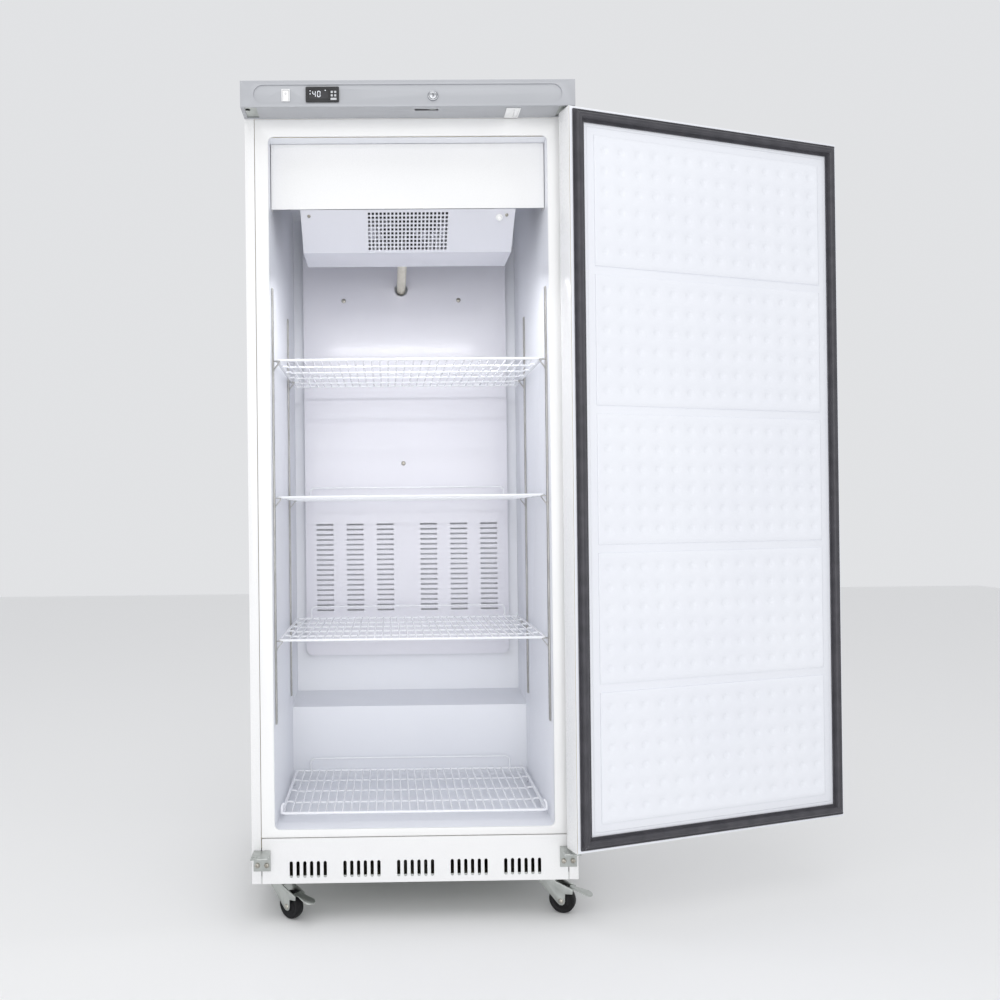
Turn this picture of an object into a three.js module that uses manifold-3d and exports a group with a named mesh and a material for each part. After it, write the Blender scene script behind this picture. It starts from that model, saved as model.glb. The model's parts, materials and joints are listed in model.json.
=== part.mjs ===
// Reach-in refrigerator for a restaurant kitchen, stored with its door swung fully open.
//
// Working frame of every function below, in millimetres: X = 0 on the cabinet's centre plane,
// Y = 0 on the face that the door seals against, with the door in front of it at -Y, and Z = 0 on
// the floor. The last lines move the whole assembly so that the middle of its footprint is the origin.

import * as THREE from 'three';
import { mergeVertices } from 'three/addons/utils/BufferGeometryUtils.js';
import Module from 'manifold-3d';

const wasm = await Module();
wasm.setup();

// ---------------------------------------------------------------- driving dimensions

const gap = 0.3;                 // clearance between neighbouring pieces
const through = 5;               // how far a cutting tool runs past a face
const sheet = 1.2;               // folded sheet steel

const cabinet = { halfWidth: 388.5, back: 655, bottom: 90, top: 1970, returnWidth: 22.5 };

const header = { front: -65, underside: 1909, wall: 1.5, recessDepth: 4, recessWall: 1.5 };
header.recess = { halfLength: 358, bottom: 1916, top: 1960 };
header.cutout = { inner: 352, outer: 380, front: -61, back: -6 };

const opening = { halfWidth: 333.5, bottom: 217, top: 1867, cornerRadius: 13 };
const breaker = { outerHalfWidth: 365, bottom: 199, top: 1908, depth: 6 };

const liner = { wall: 2, front: 7, back: 590, floor: 217, ceiling: 1865, cornerRadius: 18 };
liner.step = { face: 440, frontEdge: 418, rearEdge: 436 };

const foam = { front: 8, underside: 172, machineWall: 482, machineRoof: 376 };
const machineRoom = { grilleTop: 425, grilleHalfWidth: 355 };
machineRoom.louvre = { columns: [-210, 0, 210], halfLength: 80, height: 7, first: 180, pitch: 22, count: 9 };

const kick = { halfWidth: 364, top: 197, flange: 7 };
kick.slot = { width: 8, height: 40, pitch: 16.1, perGroup: 6, bottom: 103, groupPitch: 127.5, groups: 5 };

const tray = { thickness: 2, wallHeight: 18, wall: 1.5, plate: 62, plateDrop: 3.5 };

const door = {
  halfWidth: 387, front: -64, skinBack: -18, gasketBack: -1.5, bottom: 176, top: 1905,
  openAngle: 198, pivotX: 374, pivotY: -45,
};
door.gasket = { inset: 8, width: 28, cornerRadius: 3 };
door.liner = { thickness: 2, inset: 1.5, padInset: 62, padRise: 5, padCount: 5, groove: 18 };
door.liner.padCorner = 10;
door.liner.borderCorner = 14;
door.handle = { fromEdge: 60, middle: 1010, length: 260, width: 24, reach: 38, thickness: 12 };
door.handle.lean = 22;
door.handle.foot = 16;

const hinge = { pinRadius: 5, holeRadius: 6, pinLength: 20, plate: 3 };
hinge.upper = { inner: 350, outer: 383, front: -63, back: -4, bottom: 1911 };
hinge.lower = { inner: 344, outer: 384, bottom: 121, top: 170, reach: 57 };

const rocker = { x: -283.5, z: 1937, bezelWidth: 19, bezelHeight: 29, width: 13, height: 23 };
rocker.depth = 16;
rocker.tilt = 6;
rocker.face = 9;
rocker.pivotY = -54;
rocker.wellSpare = 1.1;
rocker.sideSpare = 0.5;
rocker.dip = 1.6;
rocker.root = 1;
rocker.rootInset = 3;
rocker.bezelDepth = 22;
const controller = { x: -198.5, z: 1938, width: 77, height: 35, lip: 3, depth: 52, neck: 3 };
controller.button = { size: 5, depth: 2.6, columns: [22, 30], rows: [5, -3], barZ: -11, barWidth: 14 };
controller.button.proud = 0.8;
controller.button.wellDepth = 4;
controller.display = { left: -32, right: 14, bottom: -11, top: 12, depth: 0.8 };
const lock = { x: 58, z: 1935, radius: 9, depth: 13, proud: 4 };
lock.keyway = { halfWidth: 0.9, halfHeight: 4, depth: 8 };
lock.bolt = { halfWidth: 9, front: -47, back: -41, bottom: 1910.5, top: 1924, travel: 10 };
lock.slot = { left: 16, right: 71, front: -48.5, back: -39.5 };
lock.pocket = { sideSpare: 3, frontSpare: 2 };
const doorSwitch = { x: 246.5, y: -29, halfWidth: 17, halfDepth: 25, height: 20, flange: 2.4 };
doorSwitch.plunger = { x: 255, halfWidth: 4.5, halfDepth: 20, tip: 1905.6, length: 12 };

const pilaster = { width: 16, depth: 4, frontY: 40, rearY: 390, bottom: 460, top: 1518 };
const clip = { reach: 15, height: 24, width: 11, thickness: 2.5 };

const shelf = { halfWidth: 326, wire: 5, openings: 31, rim: 7, front: 36, back: 505 };
shelf.levels = [1343, 1011, 665];
shelf.low = { front: 50, back: 428, level: 243, foot: 24 };
shelf.guard = { halfWidth: 285, height: 34 };

const evaporator = { front: 40, panelBottom: 1706, panelHalfWidth: 331.5, panelReturn: 30 };
evaporator.shroud = {
  halfWidth: 262, topFront: 44, slopeEnd: 130, bottom: 1625, back: 262,
};
evaporator.window = { width: 200, height: 95, bars: 10 };
evaporator.coil = { halfWidth: 230, front: 185, back: 255, bottom: 1640, top: 1850, fins: 20, core: 14 };
evaporator.fan = { radius: 72, setBack: 30, blades: 5, hub: 17, pitch: 14, motorRadius: 29, motorLength: 48 };
evaporator.drain = { x: -9.6, radius: 13, bore: 10.5, startZ: 1652, endZ: 1637, holeRadius: 20 };

const duct = { halfWidth: 303, front: 565, bottom: 545, top: 1840, returnDepth: 22 };
duct.slot = { width: 50, height: 5, pitch: 15, rows: 18, top: 935, columns: [-245, -155, -65, 65, 155, 245] };

const compressor = { x: 190, y: 568, radius: 74, bottom: 112, shoulder: 190, top: 285, foot: 84 };
const condenser = { left: -330, right: -90, front: 500, back: 552, bottom: 112, top: 352 };
condenser.fins = 18;
condenser.core = 12;
condenser.fan = { radius: 98, y: 572, blades: 5, hub: 20, pitch: 18, motorRadius: 34, motorLength: 44 };
const dripTray = { left: 40, right: 300, front: 290, back: 460, bottom: 98, top: 128, wall: 2 };
const gland = { x: -330, z: 140, radius: 11, collar: 16, reach: 9 };

const caster = { x: 324, frontY: 45, rearY: 608, trail: 34, wheelRadius: 31.75, wheelWidth: 22 };
caster.boreRadius = 5;
caster.axleRadius = 4.2;
caster.armInside = 14;
caster.armThickness = 2.5;
caster.topPlate = 78;
caster.raceTop = 86;
caster.raceRadius = 19;
caster.trailAngles = { front_left: -40, front_right: -25, rear_left: 152, rear_right: 205 };
caster.fork = { back: -20, crownFront: 22, lip: 5, thickness: 3, tip: 10, elbow: 14 };
const pedal = { pivotX: 56, pivotZ: 59, length: 51, width: 32, thickness: 2.5, drop: 9 };
pedal.strapBack = 5;
pedal.kink = 12;
pedal.taper = 3;

// ---------------------------------------------------------------- finishes

function finish(color, roughness, metalness) {
  return new THREE.MeshStandardMaterial({ color, roughness, metalness });
}

const whiteEnamel = finish(0xf1f1f2, 0.35, 0);
const linerPlastic = finish(0xf0f1f4, 0.3, 0);
const headerGrey = finish(0xc5c6cb, 0.35, 0.3);
const foamCream = finish(0xe8dcb4, 0.9, 0);
const zincPlate = finish(0xa7aaa4, 0.4, 0.9);
const blackPlastic = finish(0x1b1b1d, 0.45, 0);
const whitePlastic = finish(0xf2f2f0, 0.4, 0);
const wheelBlack = finish(0x151515, 0.6, 0);
const gasketGrey = finish(0x4b4a50, 0.65, 0);
const wireCoat = finish(0xf3f3f5, 0.35, 0);
const aluminiumFin = finish(0xc9ccd0, 0.35, 0.9);
const chromePlate = finish(0xd6d8da, 0.15, 1);
const blackEnamel = finish(0x1e1f21, 0.5, 0.2);
const creamPvc = finish(0xe9e4d3, 0.5, 0);

// ---------------------------------------------------------------- shape tools

function boxOf(x0, x1, y0, y1, z0, z1) {
  const box = new THREE.BoxGeometry(x1 - x0, y1 - y0, z1 - z0);
  return box.translate((x0 + x1) / 2, (y0 + y1) / 2, (z0 + z1) / 2);
}

function outline(points) {
  return new THREE.Shape(points.map(([u, v]) => new THREE.Vector2(u, v)));
}

// A rectangle with round corners, as a shape or as the path of a hole.
function roundRectangle(u0, u1, v0, v1, radius, Kind = THREE.Shape) {
  const quarter = Math.PI / 2;
  const path = new Kind();
  path.absarc(u1 - radius, v0 + radius, radius, -quarter, 0, false);
  path.absarc(u1 - radius, v1 - radius, radius, 0, quarter, false);
  path.absarc(u0 + radius, v1 - radius, radius, quarter, 2 * quarter, false);
  path.absarc(u0 + radius, v0 + radius, radius, 2 * quarter, 3 * quarter, false);
  path.closePath();
  return path;
}

function extrude(shape, depth, arcSteps) {
  return new THREE.ExtrudeGeometry(shape, { depth, bevelEnabled: false, curveSegments: arcSteps });
}

// A shape drawn in X and Y, standing from z0 to z1.
function prismZ(shape, z0, z1, arcSteps = 4) {
  return extrude(shape, z1 - z0, arcSteps).translate(0, 0, z0);
}

// A shape drawn in X and Z, running from y0 to y1.
function prismY(shape, y0, y1, arcSteps = 4) {
  return extrude(shape, y1 - y0, arcSteps).rotateX(Math.PI / 2).translate(0, y1, 0);
}

// A shape drawn in Y and Z, running from x0 to x1.
function prismX(shape, x0, x1, arcSteps = 4) {
  const turn = new THREE.Matrix4().makeBasis(
    new THREE.Vector3(0, 1, 0),
    new THREE.Vector3(0, 0, 1),
    new THREE.Vector3(1, 0, 0),
  );
  return extrude(shape, x1 - x0, arcSteps).applyMatrix4(turn).translate(x0, 0, 0);
}

function rodX(radius, x0, x1, y, z, sides = 16) {
  const rod = new THREE.CylinderGeometry(radius, radius, x1 - x0, sides).rotateZ(Math.PI / 2);
  return rod.translate((x0 + x1) / 2, y, z);
}

function rodY(radius, x, y0, y1, z, sides = 16) {
  return new THREE.CylinderGeometry(radius, radius, y1 - y0, sides).translate(x, (y0 + y1) / 2, z);
}

function rodZ(radius, x, y, z0, z1, sides = 16) {
  const rod = new THREE.CylinderGeometry(radius, radius, z1 - z0, sides).rotateX(Math.PI / 2);
  return rod.translate(x, y, (z0 + z1) / 2);
}

function solidOf(geometry) {
  const bare = new THREE.BufferGeometry();
  bare.setAttribute('position', geometry.getAttribute('position').clone());
  if (geometry.index) bare.setIndex(geometry.index.clone());
  const merged = mergeVertices(bare);
  const vertProperties = new Float32Array(merged.getAttribute('position').array);
  const triVerts = new Uint32Array(merged.index.array);
  return new wasm.Manifold(new wasm.Mesh({ numProp: 3, vertProperties, triVerts }));
}

function geometryOf(solid) {
  const mesh = solid.getMesh();
  const geometry = new THREE.BufferGeometry();
  geometry.setAttribute('position', new THREE.BufferAttribute(mesh.vertProperties, 3));
  geometry.setIndex(new THREE.BufferAttribute(mesh.triVerts, 1));
  geometry.computeVertexNormals();
  return geometry;
}

function join(...geometries) {
  return geometryOf(geometries.map(solidOf).reduce((whole, next) => whole.add(next)));
}

function cut(body, ...tools) {
  return geometryOf(tools.map(solidOf).reduce((rest, tool) => rest.subtract(tool), solidOf(body)));
}

function place(parent, name, geometry, material) {
  const mesh = new THREE.Mesh(geometry, material);
  mesh.name = name;
  parent.add(mesh);
  return mesh;
}

// ---------------------------------------------------------------- cabinet body

function outerCase() {
  const w = cabinet.halfWidth;
  const whole = boxOf(-w, w, 0, cabinet.back, cabinet.bottom, cabinet.top);
  const inside = boxOf(
    -w + sheet, w - sheet, sheet, cabinet.back - sheet, cabinet.bottom - through, cabinet.top - sheet,
  );
  const clear = w - cabinet.returnWidth;
  const front = boxOf(-clear, clear, -through, through, cabinet.bottom - through, breaker.top + gap);
  const room = machineRoom.grilleHalfWidth + gap;
  const rear = boxOf(
    -room, room, cabinet.back - through, cabinet.back + through,
    cabinet.bottom - through, machineRoom.grilleTop + gap,
  );
  return cut(whole, inside, front, rear);
}

// The side view of the cold compartment, grown outwards by an amount.
function compartment(grow) {
  const r = liner.cornerRadius + grow;
  const back = liner.back + grow;
  const floor = liner.floor - grow;
  const ceiling = liner.ceiling + grow;
  const face = liner.step.face + grow;
  const shape = new THREE.Shape();
  shape.moveTo(liner.front, floor);
  shape.lineTo(face - r, floor);
  shape.absarc(face - r, floor + r, r, -Math.PI / 2, 0, false);
  shape.lineTo(face, liner.step.frontEdge - grow);
  shape.lineTo(back, liner.step.rearEdge - grow);
  shape.lineTo(back, ceiling - r);
  shape.absarc(back - r, ceiling - r, r, 0, Math.PI / 2, false);
  shape.lineTo(liner.front, ceiling);
  shape.closePath();
  return shape;
}

function innerLiner() {
  const w = opening.halfWidth;
  const outside = prismX(compartment(liner.wall), -w - liner.wall, w + liner.wall);
  const inside = prismX(compartment(0), -w, w);
  const mouth = boxOf(-w, w, liner.front - through, liner.front + through, liner.floor, liner.ceiling);
  return cut(outside, inside, mouth);
}

function foamBody() {
  const w = cabinet.halfWidth - sheet - gap;
  const back = cabinet.back - sheet - gap;
  const top = cabinet.top - sheet - gap;
  const side = outline([
    [foam.front, foam.underside], [foam.machineWall, foam.underside],
    [foam.machineWall, foam.machineRoof], [back, foam.machineRoof], [back, top], [foam.front, top],
  ]);
  const reach = opening.halfWidth + liner.wall + gap;
  const hollow = prismX(compartment(liner.wall + gap), -reach, reach);
  const mouth = boxOf(
    -reach, reach, 0, foam.front + through,
    liner.floor - liner.wall - gap, liner.ceiling + liner.wall + gap,
  );
  return cut(prismX(side, -w, w), hollow, mouth);
}

function breakerFrame() {
  const frame = roundRectangle(
    -breaker.outerHalfWidth, breaker.outerHalfWidth, breaker.bottom, breaker.top, 2,
  );
  frame.holes.push(roundRectangle(
    -opening.halfWidth, opening.halfWidth, opening.bottom, opening.top, opening.cornerRadius, THREE.Path,
  ));
  return prismY(frame, 0, breaker.depth, 2);
}

function baseTray() {
  const w = cabinet.halfWidth - sheet - gap;
  const front = sheet + gap;
  const back = cabinet.back - sheet - gap;
  const bottom = cabinet.bottom;
  const top = bottom + tray.wallHeight;
  const pan = cut(
    boxOf(-w, w, front, back, bottom, top),
    boxOf(
      -w + tray.wall, w - tray.wall, front + tray.wall, back - tray.wall, bottom + tray.thickness, top + 1,
    ),
  );
  const half = tray.plate / 2;
  const plates = [];
  for (const x of [-caster.x, caster.x]) {
    for (const y of [caster.frontY, caster.rearY]) {
      plates.push(boxOf(x - half, x + half, y - half, y + half, bottom - tray.plateDrop, bottom + 1));
    }
  }
  return join(pan, ...plates);
}

function kickGrille() {
  const { slot } = kick;
  const face = outline([
    [-kick.halfWidth, cabinet.bottom], [kick.halfWidth, cabinet.bottom],
    [kick.halfWidth, kick.top], [-kick.halfWidth, kick.top],
  ]);
  for (let group = 0; group < slot.groups; group += 1) {
    const middle = (group - (slot.groups - 1) / 2) * slot.groupPitch;
    for (let i = 0; i < slot.perGroup; i += 1) {
      const x = middle + (i - (slot.perGroup - 1) / 2) * slot.pitch;
      face.holes.push(roundRectangle(
        x - slot.width / 2, x + slot.width / 2, slot.bottom, slot.bottom + slot.height,
        slot.width / 2 - 0.01, THREE.Path,
      ));
    }
  }
  const plate = prismY(face, 0, sheet, 1);
  const flange = boxOf(-kick.halfWidth, kick.halfWidth, sheet / 2, kick.flange, kick.top - sheet, kick.top);
  return join(plate, flange);
}

function rearGrille() {
  const w = machineRoom.grilleHalfWidth;
  const bottom = cabinet.bottom + tray.wallHeight + gap;
  const { louvre } = machineRoom;
  const plate = boxOf(-w, w, cabinet.back - sheet, cabinet.back, bottom, machineRoom.grilleTop);
  const y0 = cabinet.back - through;
  const y1 = cabinet.back + through;
  const tools = [rodY(gland.radius + gap, gland.x, y0, y1, gland.z)];
  for (const x of louvre.columns) {
    for (let i = 0; i < louvre.count; i += 1) {
      const z = louvre.first + i * louvre.pitch;
      tools.push(boxOf(x - louvre.halfLength, x + louvre.halfLength, y0, y1, z, z + louvre.height));
    }
  }
  return cut(plate, ...tools);
}

function cordGland() {
  const y = cabinet.back + gap;
  const shank = rodY(gland.radius - gap, gland.x, cabinet.back - 2 * gland.reach, y + 1, gland.z);
  const collar = rodY(gland.collar, gland.x, y, y + gland.reach, gland.z, 6);
  const bore = rodY(gland.radius / 2, gland.x, y - 4 * gland.reach, y + 2 * gland.reach, gland.z, 12);
  return cut(join(shank, collar), bore);
}

// ---------------------------------------------------------------- header and controls

function headerShell() {
  const w = cabinet.halfWidth;
  const { wall, recess, cutout } = header;
  const back = -gap;
  const whole = boxOf(-w, w, header.front, back, header.underside, cabinet.top);
  const inside = boxOf(
    -w + wall, w - wall, header.front + wall, back + through, header.underside + wall, cabinet.top - wall,
  );
  const radius = (recess.top - recess.bottom) / 2 - 0.01;
  const dish = roundRectangle(-recess.halfLength, recess.halfLength, recess.bottom, recess.top, radius);
  const skirt = recess.halfLength + header.recessWall;
  const skirtShape = roundRectangle(
    -skirt, skirt, recess.bottom - header.recessWall, recess.top + header.recessWall,
    radius + header.recessWall,
  );
  const floorY = header.front + header.recessDepth;
  const shell = cut(whole, inside);
  const backed = join(shell, prismY(skirtShape, header.front + wall / 2, floorY + header.recessWall, 6));
  const tools = [prismY(dish, header.front - through, floorY, 6)];
  for (const side of [-1, 1]) {
    const x0 = Math.min(side * cutout.inner, side * cutout.outer);
    const x1 = Math.max(side * cutout.inner, side * cutout.outer);
    tools.push(boxOf(
      x0, x1, cutout.front, cutout.back, header.underside - through, header.underside + through / 2,
    ));
  }
  const behind = header.front + 4 * through;
  const switchW = rocker.bezelWidth / 2 - 1;
  const switchH = rocker.bezelHeight / 2 - 1;
  tools.push(boxOf(
    rocker.x - switchW, rocker.x + switchW, header.front, behind, rocker.z - switchH, rocker.z + switchH,
  ));
  const panelW = controller.width / 2 - controller.neck;
  const panelH = controller.height / 2 - controller.neck;
  tools.push(boxOf(
    controller.x - panelW, controller.x + panelW, header.front, behind,
    controller.z - panelH, controller.z + panelH,
  ));
  tools.push(rodY(lock.radius + gap, lock.x, header.front, behind, lock.z));
  tools.push(boxOf(
    lock.slot.left, lock.slot.right, lock.slot.front, lock.slot.back,
    header.underside - through, header.underside + through,
  ));
  tools.push(boxOf(
    doorSwitch.x - doorSwitch.halfWidth + 2, doorSwitch.x + doorSwitch.halfWidth - 2,
    doorSwitch.y - doorSwitch.halfDepth + 2, doorSwitch.y + doorSwitch.halfDepth - 2,
    header.underside - through, header.underside + through,
  ));
  return cut(backed, ...tools);
}

const recessFloor = header.front + header.recessDepth;

function rockerBezel() {
  const { x, z } = rocker;
  const w = rocker.bezelWidth / 2;
  const h = rocker.bezelHeight / 2;
  const flange = boxOf(x - w, x + w, recessFloor - gap - 1.5, recessFloor - gap, z - h, z + h);
  const body = boxOf(
    x - w + 1 + gap, x + w - 1 - gap, recessFloor - 1, recessFloor + rocker.bezelDepth,
    z - h + 1 + gap, z + h - 1 - gap,
  );
  const wellW = rocker.width / 2 + rocker.sideSpare;
  const wellH = rocker.height / 2 + rocker.wellSpare;
  const well = boxOf(
    x - wellW, x + wellW, recessFloor - through, recessFloor + rocker.depth, z - wellH, z + wellH,
  );
  return cut(join(flange, body), well);
}

// A shallow V seen from the side, drawn about its pivot and tipped so that one end stands proud.
function rockerKey() {
  const h = rocker.height / 2;
  const { face, dip, root, rootInset } = rocker;
  const side = outline([
    [-face, -h], [root, rootInset - h], [root, h - rootInset], [-face, h], [dip - face, 0],
  ]);
  const key = prismX(side, -rocker.width / 2, rocker.width / 2);
  return key.rotateX(THREE.MathUtils.degToRad(rocker.tilt)).translate(rocker.x, rocker.pivotY, rocker.z);
}

function controllerButtonSpots() {
  const { button } = controller;
  const spots = [];
  for (const z of button.rows) {
    for (const x of button.columns) {
      spots.push({ x: controller.x + x, z: controller.z + z, width: button.size, height: button.size });
    }
  }
  const middle = (button.columns[0] + button.columns[1]) / 2;
  spots.push({
    x: controller.x + middle, z: controller.z + button.barZ, width: button.barWidth, height: button.size,
  });
  return spots;
}

function controllerBody() {
  const { x, z } = controller;
  const w = controller.width / 2;
  const h = controller.height / 2;
  const neck = controller.neck + gap;
  const front = recessFloor - gap - controller.lip;
  const bezel = prismY(roundRectangle(x - w, x + w, z - h, z + h, 2), front, recessFloor - gap);
  const body = boxOf(
    x - w + neck, x + w - neck, recessFloor - 1, recessFloor + controller.depth, z - h + neck, z + h - neck,
  );
  const wells = controllerButtonSpots().map((spot) => boxOf(
    spot.x - spot.width / 2 - gap, spot.x + spot.width / 2 + gap,
    front - 1, front + controller.button.wellDepth,
    spot.z - spot.height / 2 - gap, spot.z + spot.height / 2 + gap,
  ));
  const { display } = controller;
  const glass = boxOf(
    x + display.left, x + display.right, front - 1, front + display.depth,
    z + display.bottom, z + display.top,
  );
  return cut(join(bezel, body), ...wells, glass);
}

function controllerButton(spot) {
  const front = recessFloor - gap - controller.lip - controller.button.proud;
  return boxOf(
    spot.x - spot.width / 2, spot.x + spot.width / 2, front, front + controller.button.depth,
    spot.z - spot.height / 2, spot.z + spot.height / 2,
  );
}

function lockBarrel() {
  const barrel = rodY(lock.radius, lock.x, recessFloor - lock.proud, recessFloor + lock.depth, lock.z, 20);
  const { keyway } = lock;
  const front = recessFloor - lock.proud;
  const key = boxOf(
    lock.x - keyway.halfWidth, lock.x + keyway.halfWidth, front - 1, front + keyway.depth,
    lock.z - keyway.halfHeight, lock.z + keyway.halfHeight,
  );
  return cut(barrel, key);
}

function lockBolt() {
  const { bolt } = lock;
  const w = bolt.halfWidth;
  return boxOf(lock.x - w, lock.x + w, bolt.front, bolt.back, bolt.bottom, bolt.top);
}

function doorSwitchHousing() {
  const { x, y, halfWidth: w, halfDepth: d, flange } = doorSwitch;
  const under = header.underside - gap;
  const rim = boxOf(x - w, x + w, y - d, y + d, under - flange, under);
  const body = boxOf(
    x - w + 2 + gap, x + w - 2 - gap, y - d + 2 + gap, y + d - 2 - gap, under - 1, under + doorSwitch.height,
  );
  const { plunger } = doorSwitch;
  const wellW = plunger.halfWidth + gap;
  const wellD = plunger.halfDepth + gap;
  const well = boxOf(
    plunger.x - wellW, plunger.x + wellW, y - wellD, y + wellD,
    under - through, under + doorSwitch.height - 4,
  );
  return cut(join(rim, body), well);
}

function doorSwitchPlunger() {
  const { x, halfWidth, halfDepth, tip, length } = doorSwitch.plunger;
  return boxOf(
    x - halfWidth, x + halfWidth, doorSwitch.y - halfDepth, doorSwitch.y + halfDepth, tip, tip + length,
  );
}

// ---------------------------------------------------------------- hinges

// A flat plate above the header's cut-out. The working one carries the door's top pin.
function upperHinge(side, withPin) {
  const { upper } = hinge;
  const shape = outline([
    [side * upper.inner, upper.front], [side * upper.outer, upper.front],
    [side * upper.outer, upper.back], [side * upper.inner, upper.back],
  ]);
  const plate = prismZ(shape, upper.bottom, upper.bottom + hinge.plate);
  const x = side * door.pivotX;
  const y = door.pivotY;
  if (!withPin) return cut(plate, rodZ(hinge.holeRadius, x, y, upper.bottom - 1, upper.bottom + through));
  return join(plate, rodZ(hinge.pinRadius, x, y, door.top - hinge.pinLength + gap, upper.bottom + 1));
}

// An angle screwed to the cabinet's foot: an upright plate with a shelf standing forward from its top.
function lowerHinge(side, withPin) {
  const { lower } = hinge;
  const x0 = Math.min(side * lower.inner, side * lower.outer);
  const x1 = Math.max(side * lower.inner, side * lower.outer);
  const upright = boxOf(x0, x1, -hinge.plate - gap, -gap, lower.bottom, lower.top);
  const ledge = boxOf(x0, x1, -lower.reach, -gap, lower.top - hinge.plate, lower.top);
  const angle = join(upright, ledge);
  const x = side * door.pivotX;
  if (!withPin) {
    return cut(angle, rodZ(hinge.holeRadius, x, door.pivotY, lower.top - 2 * hinge.plate, lower.top + 1));
  }
  const pin = rodZ(hinge.pinRadius, x, door.pivotY, lower.top - 1, door.bottom + hinge.pinLength - gap);
  const washer = rodZ(2 * hinge.pinRadius, x, door.pivotY, lower.top - 1, door.bottom - gap);
  return join(angle, pin, washer);
}

// ---------------------------------------------------------------- door, drawn closed

function doorBlock(inset, front, back) {
  return boxOf(
    -door.halfWidth + inset, door.halfWidth - inset, front, back, door.bottom + inset, door.top - inset,
  );
}

// Tools that open the door's ends for its two hinge pins and for the lock's bolt.
function doorPockets(grow) {
  const long = hinge.pinLength + grow;
  const radius = hinge.holeRadius + grow;
  const { bolt, pocket } = lock;
  const boltW = bolt.halfWidth + pocket.sideSpare + grow;
  return [
    rodZ(radius, door.pivotX, door.pivotY, door.bottom - through, door.bottom + long),
    rodZ(radius, door.pivotX, door.pivotY, door.top - long, door.top + through),
    boxOf(
      lock.x - boltW, lock.x + boltW, bolt.front - pocket.frontSpare - grow,
      bolt.back + pocket.frontSpare + grow, door.top - bolt.travel - grow, door.top + through,
    ),
  ];
}

function doorSkin() {
  const pan = cut(
    doorBlock(0, door.front, door.skinBack),
    doorBlock(sheet, door.front + sheet, door.skinBack + through),
  );
  return cut(pan, ...doorPockets(0));
}

function doorFoam() {
  const inset = sheet + gap;
  const block = doorBlock(inset, door.front + inset, door.skinBack - gap);
  return cut(block, ...doorPockets(gap));
}

function doorLinerPanel() {
  const { thickness, inset, padInset, padRise, padCount, groove, padCorner, borderCorner } = door.liner;
  const face = door.skinBack + gap + thickness;
  const flange = doorBlock(inset, face - thickness, face);
  const low = door.bottom + padInset;
  const high = door.top - padInset;
  const pitch = (high - low + groove) / padCount;
  const w = door.halfWidth - padInset;
  const pads = [];
  for (let i = 0; i < padCount; i += 1) {
    const z0 = low + i * pitch;
    const pad = roundRectangle(-w, w, z0, z0 + pitch - groove, padCorner);
    pads.push(prismY(pad, face - thickness / 2, face + padRise, 1));
  }
  const border = padInset - groove;
  const ring = roundRectangle(
    -w - groove, w + groove, door.bottom + border, door.top - border, borderCorner,
  );
  const rise = prismY(ring, face - thickness / 2, face + padRise / 3, 1);
  return join(flange, rise, ...pads);
}

function doorGasket() {
  const { inset, width, cornerRadius } = door.gasket;
  const w = door.halfWidth - inset;
  const ring = roundRectangle(-w, w, door.bottom + inset, door.top - inset, cornerRadius);
  ring.holes.push(roundRectangle(
    -w + width, w - width, door.bottom + inset + width, door.top - inset - width, cornerRadius, THREE.Path,
  ));
  return prismY(ring, door.skinBack + door.liner.thickness + 2 * gap, door.gasketBack, 2);
}

// A bow handle near the free edge of the outer face, standing on its two ends.
function doorHandle() {
  const { handle } = door;
  const x = -door.halfWidth + handle.fromEdge;
  const y = door.front - gap;
  const z0 = handle.middle - handle.length / 2;
  const z1 = handle.middle + handle.length / 2;
  const { lean, foot, reach, thickness } = handle;
  const inner = y - reach + thickness;
  const side = outline([
    [y, z0], [y - reach, z0 + lean], [y - reach, z1 - lean], [y, z1],
    [y, z1 - foot], [inner, z1 - lean - thickness], [inner, z0 + lean + thickness], [y, z0 + foot],
  ]);
  return prismX(side, x - handle.width / 2, x + handle.width / 2);
}

// ---------------------------------------------------------------- inside the compartment

function evaporatorFrontPanel() {
  const w = evaporator.panelHalfWidth;
  const { front, panelBottom: z0, panelReturn } = evaporator;
  const z1 = liner.ceiling - 1;
  return cut(
    boxOf(-w, w, front, front + panelReturn, z0, z1),
    boxOf(-w + sheet, w - sheet, front + sheet, front + 2 * panelReturn, z0 - through, z1 + through),
  );
}

// Side view of the fan shroud: a slope under the front panel, a flat floor and a low rear wall.
function shroudSide(inset) {
  const s = evaporator.shroud;
  const topZ = evaporator.panelBottom - gap;
  const open = inset > 0 ? 2 * through : 0;
  return outline([
    [s.topFront + 1.4 * inset, topZ + open], [s.slopeEnd + 0.4 * inset, s.bottom + inset],
    [s.back - inset, s.bottom + inset], [s.back - inset, topZ + open],
  ]);
}

const slope = {
  run: evaporator.shroud.slopeEnd - evaporator.shroud.topFront,
  fall: evaporator.panelBottom - evaporator.shroud.bottom,
};
slope.length = Math.hypot(slope.run, slope.fall);
slope.middleY = evaporator.shroud.topFront + slope.run / 2;
slope.middleZ = evaporator.shroud.bottom + slope.fall / 2;
slope.inwardY = slope.fall / slope.length;
slope.inwardZ = slope.run / slope.length;

// Stands a shape that was drawn about the local +Y axis on the shroud's slope, a distance behind it.
function onSlope(geometry, setBack) {
  const tilt = Math.atan2(slope.inwardZ, slope.inwardY);
  return geometry.rotateX(tilt).translate(
    0, slope.middleY + slope.inwardY * setBack, slope.middleZ + slope.inwardZ * setBack,
  );
}

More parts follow.
